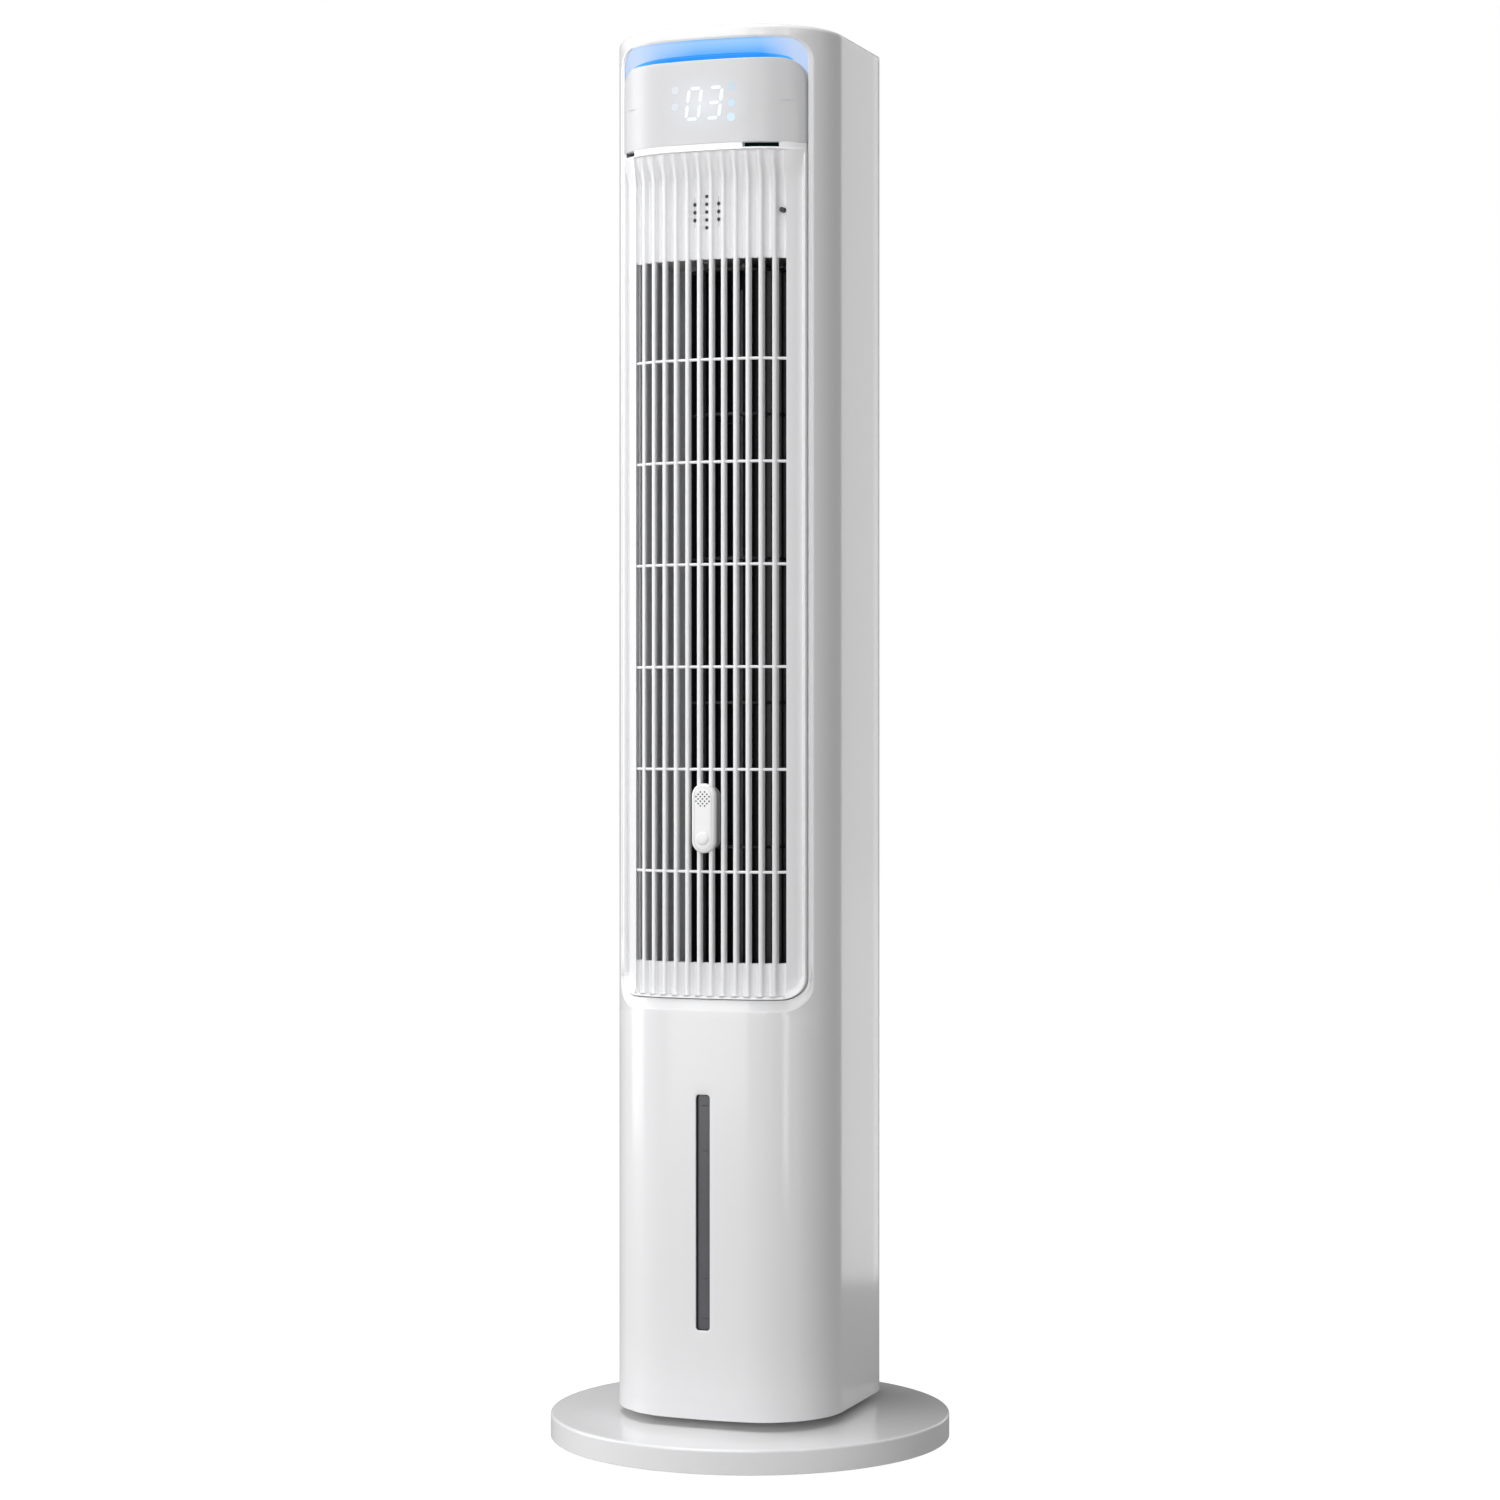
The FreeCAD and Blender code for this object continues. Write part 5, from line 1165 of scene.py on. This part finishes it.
def smoky_window():
    """Dark clear plastic: a gloss surface over a tone that darkens towards its top."""
    tones = colours()
    material, tree, shader, vector = new_material("window_smoke")
    up = axis_value(tree, vector, 2, 0.098, 0.275)
    low_tone = tuple(min(1.0, part * 1.15) for part in tones.window)
    high_tone = tuple(part * 0.85 for part in tones.window)
    along = ramp(tree, up, [(0.0, low_tone), (0.55, tuple(tones.window)), (1.0, high_tone)])
    stain = noise(tree, vector, 60.0, 3.0)
    factor = calculate(tree, "ADD", calculate(tree, "MULTIPLY", stain, 0.2), 0.9)
    tree.links.new(tinted(tree, along, factor), shader.inputs["Base Color"])
    rough = calculate(tree, "ADD", calculate(tree, "MULTIPLY", stain, 0.08), 0.14)
    tree.links.new(rough, shader.inputs["Roughness"])
    return material


def clear_tank():
    """Clear plastic of the tank, with a little haze in its gloss."""
    material, tree, shader, vector = new_material("tank_clear")
    haze = noise(tree, vector, 90.0, 2.0)
    rough = calculate(tree, "ADD", calculate(tree, "MULTIPLY", haze, 0.15), 0.12)
    tree.links.new(rough, shader.inputs["Roughness"])
    shader.inputs["Base Color"].default_value = (0.72, 0.76, 0.80, 1)
    shader.inputs["Transmission Weight"].default_value = 0.75
    shader.inputs["IOR"].default_value = 1.49
    return material


HALO_MIDDLE = (0.001, -0.1024, 1.020)   # metres
HALO_REACH = (0.036, 0.06, 0.026)       # metres


def display_finish():
    """The display's cover: pale grey, with a faint halo of light round the digits."""
    tones = colours()
    material = plastic("display_grey", tuple(tones.display), 0.34, grain=0.05, tone_change=0.01)
    tree = material.node_tree
    shader = tree.nodes["Principled BSDF"]
    vector = next(node for node in tree.nodes if node.type == "TEX_COORD").outputs["Object"]
    halo = tree.nodes.new("ShaderNodeMapping")
    halo.inputs["Scale"].default_value = [1 / reach for reach in HALO_REACH]
    halo.inputs["Location"].default_value = [
        -middle / reach for middle, reach in zip(HALO_MIDDLE, HALO_REACH)]
    tree.links.new(vector, halo.inputs["Vector"])
    ball = tree.nodes.new("ShaderNodeTexGradient")
    ball.gradient_type = "SPHERICAL"
    tree.links.new(halo.outputs[0], ball.inputs["Vector"])
    lit = ramp(tree, ball.outputs["Fac"],
               [(0.0, (0, 0, 0)), (0.5, (0.03, 0.04, 0.055)), (1.0, (0.09, 0.12, 0.15))])
    tree.links.new(lit, shader.inputs["Emission Color"])
    shader.inputs["Emission Strength"].default_value = 1.0
    return material


def make_finishes():
    """Every finish, with the names of the record's slots and three softer glows."""
    tones = colours()
    moulded_group()
    brushed_group()
    plastic("shell_white", tuple(tones.shell), 0.45, grain=0.03, coat=0.6, tone_change=0.01)
    plastic("grille_white", tuple(tones.grille), 0.34, grain=0.06, coat=0.1, tone_change=0.01)
    plastic("capsule_white", (0.84, 0.84, 0.84), 0.28, grain=0.05, tone_change=0.01)
    display_finish()
    white = tuple(tones.digits)
    dark = (0.12, 0.13, 0.15)
    glow("glow_white", [(0.0, white), (1.0, (0.86, 0.93, 0.98))], 2, 1.0, 1.04, 1.05, dark)
    glow("glow_soft", [(0.0, (0.66, 0.84, 0.95)), (0.7, (0.52, 0.70, 0.80)), (1.0, (0.52, 0.62, 0.68))],
         2, 1.005, 1.035, 0.9, dark)
    glow("glow_faint", [(0.0, (0.66, 0.70, 0.76)), (1.0, (0.68, 0.71, 0.74))], 2, 1.0, 1.04, 0.95, dark)
    blue = tuple(tones.blue)
    end = (0.10, 0.45, 0.92)
    glow("glow_blue", [(0.0, end), (0.3, blue), (0.85, blue), (1.0, end)],
         0, -0.066, 0.066, 1.0, (0.0, 0.01, 0.03))
    # The painted light of the strip on the recess.
    paint_recess_light()
    smoky_window()
    clear_tank()
    plastic("fan_black", tuple(tones.fan), 0.45, grain=0.1, tone_change=0.1)
    plastic("duct_grey", tuple(tones.duct), 0.5, grain=0.15, tone_change=0.05)
    plastic("inner_white", (0.68, 0.68, 0.66), 0.5, grain=0.2, tone_change=0.04)
    patterned("board_green", (0.02, 0.16, 0.07), 0.35, 160.0, "X", 0.0001)
    metal("steel", (0.58, 0.57, 0.55), 0.28)
    metal("iron_grey", (0.23, 0.23, 0.24), 0.5)
    metal("motor_metal", (0.52, 0.52, 0.53), 0.34)
    plastic("foot_rubber", (0.03, 0.03, 0.03), 0.75, grain=0.3, tone_change=0.1)
    plastic("hose_rubber", (0.05, 0.05, 0.055), 0.55, grain=0.2, tone_change=0.1)
    patterned("pad_paper", (0.44, 0.33, 0.20), 0.85, 110.0, "Z", 0.002)
    patterned("mesh_grey", (0.25, 0.26, 0.27), 0.6, 260.0, "DIAGONAL", 0.0008)
    plastic("felt_cream", (0.72, 0.66, 0.52), 0.9, grain=0.8, grain_scale=900.0, tone_change=0.15)
    plastic("gear_ivory", (0.78, 0.74, 0.62), 0.42, grain=0.1, tone_change=0.04)


def finish_nodes():
    """Gives each carried-over node the finish of its slot."""
    for entry in frame["record"]["subparts"]:
        node = frame["nodes"][entry["node"]]
        for index in range(len(node.material_slots)):
            node.material_slots[index].material = FINISHES[entry["material_slot"]]


# ---- the stage ---------------------------------------------------------------------------

# Name, place, width, height and watts of each softbox; places and sizes are in metres.
LAMPS = (
    ("far_left_softbox", (-2.1, -0.4, 0.9), 1.0, 2.2, 28.0),
    ("left_front_softbox", (-0.7, -2.4, 0.9), 1.3, 2.2, 26.0),
    ("front_softbox", (0.8, -3.0, 1.0), 0.8, 1.6, 16.0),
    ("right_front_strip", (1.35, -1.1, 0.8), 0.12, 2.2, 5.6),
    ("right_rear_strip", (0.30, 0.75, 0.6), 0.3, 1.7, 2.6),
    ("top_softbox", (-0.4, -0.5, 2.7), 1.4, 1.4, 44.0),
)
WORLD_LIGHT = 0.08                      # what the background and the floor give as light,
FLOOR_LIGHT = 0.27                      # though both look white
AIM = (0.0, 0.0, 0.55)                  # metres
HIGH_LAMP = 2.0                         # a lamp below this height shines level, in metres
FLOOR_HALF = 9000.0
CAMERA_TURN = math.radians(20.3)        # from the front, towards +X
CAMERA_AWAY, CAMERA_HEIGHT = 2.695, 0.5524      # metres
CAMERA_LENS, CAMERA_SHIFT = 83.04, -0.016


def area_light(name, place, wide, high, power):
    """A softbox that faces the tower and isn't itself seen."""
    data = bpy.data.lights.new(name, "AREA")
    data.shape = "RECTANGLE"
    data.size = wide
    data.size_y = high
    data.energy = power
    lamp = bpy.data.objects.new(name, data)
    bpy.context.scene.collection.objects.link(lamp)
    lamp.location = place
    level = place[2] < HIGH_LAMP
    aim = Vector((AIM[0], AIM[1], place[2] if level else AIM[2]))
    lamp.rotation_euler = (aim - Vector(place)).to_track_quat("-Z", "Y").to_euler()
    lamp.visible_camera = False


def camera_ray_mix(tree, seen, unseen):
    """A number that has one value for what the camera sees and another for light that bounces."""
    path = tree.nodes.new("ShaderNodeLightPath")
    more = calculate(tree, "MULTIPLY", path.outputs["Is Camera Ray"], seen - unseen)
    return calculate(tree, "ADD", more, unseen)


def make_floor():
    """A flat white floor."""
    scene = bpy.context.scene
    floor = Surface()
    lines = np.linspace(-FLOOR_HALF, FLOOR_HALF, 9)
    x, y = np.meshgrid(lines, lines)
    floor.grid(np.stack([x, y, np.zeros_like(x)], axis=-1))
    mesh = floor.mesh("floor")
    piece = bpy.data.objects.new("floor", mesh)
    scene.collection.objects.link(piece)
    material, tree, shader, vector = new_material("floor_white")
    soft = noise(tree, vector, 3.0)
    rough = calculate(tree, "ADD", calculate(tree, "MULTIPLY", soft, 0.05), 0.6)
    tree.links.new(rough, shader.inputs["Roughness"])
    shader.inputs["Base Color"].default_value = (0.1, 0.1, 0.1, 1)
    level = camera_ray_mix(tree, 1.0, FLOOR_LIGHT)
    combine = tree.nodes.new("ShaderNodeCombineColor")
    for socket in combine.inputs:
        tree.links.new(level, socket)
    tree.links.new(combine.outputs[0], shader.inputs["Emission Color"])
    shader.inputs["Emission Strength"].default_value = 1.0
    shader.inputs["Specular IOR Level"].default_value = 0.1
    mesh.materials.append(material)


def make_lights():
    """A white background and the softboxes."""
    world = bpy.data.worlds.new("studio")
    bpy.context.scene.world = world
    world.use_nodes = True
    tree = world.node_tree
    background = tree.nodes["Background"]
    tree.links.new(camera_ray_mix(tree, 1.0, WORLD_LIGHT), background.inputs["Strength"])
    background.inputs["Color"].default_value = (1, 1, 1, 1)
    for name, place, wide, high, power in LAMPS:
        area_light(name, place, wide, high, power)


def make_camera():
    """A level camera to the right of the front."""
    scene = bpy.context.scene
    camera_data = bpy.data.cameras.new("camera")
    camera = bpy.data.objects.new("camera", camera_data)
    scene.collection.objects.link(camera)
    camera.location = (CAMERA_AWAY * math.sin(CAMERA_TURN),
                       -CAMERA_AWAY * math.cos(CAMERA_TURN), CAMERA_HEIGHT)
    camera.rotation_euler = (math.pi / 2, 0, CAMERA_TURN)
    camera_data.sensor_width = 36
    camera_data.lens = CAMERA_LENS
    camera_data.shift_y = CAMERA_SHIFT
    camera_data.clip_end = 60
    camera_data.dof.use_dof = False
    scene.camera = camera
    scene.view_settings.view_transform = "Standard"


# ---- operators, panel and registration ---------------------------------------------------

def finished(*names):
    """Ends an operator, with an error if one of its pieces isn't there or has no faces."""
    for name in names:
        piece = bpy.data.objects.get(name)
        if piece is None or not piece.data.polygons:
            raise RuntimeError(f"{name} wasn't made")
    return {"FINISHED"}


class MakeFinishes(bpy.types.Operator):
    """Makes every finish and gives it to the carried-over parts"""
    bl_idname = "tower.finishes"
    bl_label = "Finishes"

    def execute(self, context):
        make_finishes()
        finish_nodes()
        return finished()


class MakeShell(bpy.types.Operator):
    """Makes the front shell of the tower"""
    bl_idname = "tower.shell"
    bl_label = "Front shell"

    def execute(self, context):
        front_shell()
        return finished("front_shell")


class MakeFoot(bpy.types.Operator):
    """Makes the cover of the round foot"""
    bl_idname = "tower.foot"
    bl_label = "Foot cover"

    def execute(self, context):
        foot_cover()
        return finished("foot_cover")


class MakeGrille(bpy.types.Operator):
    """Makes the slatted grille, the dark sheet of painted shade behind its holes and the ledge above it"""
    bl_idname = "tower.grille"
    bl_label = "Grille"

    def execute(self, context):
        front_grille()
        sound_hole_shade()
        joint_ledge()
        return finished("slatted_grille", "sound_hole_shade", "joint_ledge")


class MakeDisplay(bpy.types.Operator):
    """Makes the display cover, its digits and its lamps"""
    bl_idname = "tower.display"
    bl_label = "Display"

    def execute(self, context):
        display_cover()
        display_digits()
        round_lamps("display_lamps", BRIGHT_LAMPS, "glow_soft")
        round_lamps("display_dim_lamps", DIM_LAMPS, "glow_faint")
        return finished("display_cover", "display_digits", "display_lamps", "display_dim_lamps")


class MakeLight(bpy.types.Operator):
    """Makes the lit band and its recess, whose finish is the band's light painted on it"""
    bl_idname = "tower.light"
    bl_label = "Light"

    def execute(self, context):
        light_recess()
        light_band()
        return finished("light_recess", "light_band")


class MakeCapsule(bpy.types.Operator):
    """Makes the face of the scent capsule, with its dots and its button, black dots of painted shade for
    its holes and a grey ring of painted shade round the button
    """
    bl_idname = "tower.capsule"
    bl_label = "Scent capsule"

    def execute(self, context):
        capsule_face()
        # Painted shade: black dots in place of the shadow inside the capsule's holes.
        capsule_dots("capsule_hole_shade", "fan_black", 3, 1.75, 0.66, 6.0, 14.6, 0.03)
        capsule_dots("capsule_dots", "duct_grey", 4, 1.7, 0.35, 7.5, 0.5, 0.02)
        # Painted shade: a grey ring round the button in place of the shadow in its groove.
        capsule_turned("capsule_groove_shade", "duct_grey", ((5.5, -0.3), (5.5, 0.04), (4.0, 0.05)))
        capsule_turned("capsule_button", "capsule_white", (
            (5.0, -0.2), (5.0, 0.3), (4.7, 0.6), (4.0, 0.85), (2.6, 1.05), (1.0, 1.12)))
        return finished("capsule_face", "capsule_hole_shade", "capsule_dots", "capsule_groove_shade", "capsule_button")


class MakeWindow(bpy.types.Operator):
    """Makes the lens of the water window, the painted shade on its slot's wall and its level lines"""
    bl_idname = "tower.window"
    bl_label = "Water window"

    def execute(self, context):
        window_lens()
        window_wall_shade()
        window_marks()
        return finished("window_lens", "window_wall_shade", "window_marks")


class MakeStage(bpy.types.Operator):
    """Makes the floor, the lights and the camera"""
    bl_idname = "tower.stage"
    bl_label = "Stage"

    def execute(self, context):
        make_floor()
        make_lights()
        make_camera()
        return finished("floor")


OPERATORS = [MakeFinishes, MakeShell, MakeFoot, MakeGrille, MakeDisplay, MakeLight, MakeCapsule,
             MakeWindow, MakeStage]


class TowerPanel(bpy.types.Panel):
    """Lists the sizes, the colours and the operators"""
    bl_idname = "VIEW3D_PT_tower_cooler"
    bl_label = "Tower cooler"
    bl_space_type = "VIEW_3D"
    bl_region_type = "UI"
    bl_category = "Tower cooler"

    def draw(self, context):
        for group in (context.scene.tower_sizes, context.scene.tower_colours):
            box = self.layout.box()
            for name in type(group).__annotations__:
                box.prop(group, name)
        for item in OPERATORS:
            self.layout.operator(item.bl_idname)


CLASSES = [TowerSizes, TowerColours, *OPERATORS, TowerPanel]


def register():
    """Registers the classes and hangs the sizes and colours on the scene."""
    for item in CLASSES:
        bpy.utils.register_class(item)
    bpy.types.Scene.tower_sizes = bpy.props.PointerProperty(type=TowerSizes)
    bpy.types.Scene.tower_colours = bpy.props.PointerProperty(type=TowerColours)


def unregister():
    """Takes back what register did."""
    del bpy.types.Scene.tower_colours
    del bpy.types.Scene.tower_sizes
    for item in reversed(CLASSES):
        bpy.utils.unregister_class(item)


def main():
    """Makes every piece in order."""
    register()
    bpy.ops.tower.finishes()
    bpy.ops.tower.shell()
    bpy.ops.tower.foot()
    bpy.ops.tower.grille()
    bpy.ops.tower.display()
    bpy.ops.tower.light()
    bpy.ops.tower.capsule()
    bpy.ops.tower.window()
    bpy.ops.tower.stage()


if __name__ == "__main__":
    main()
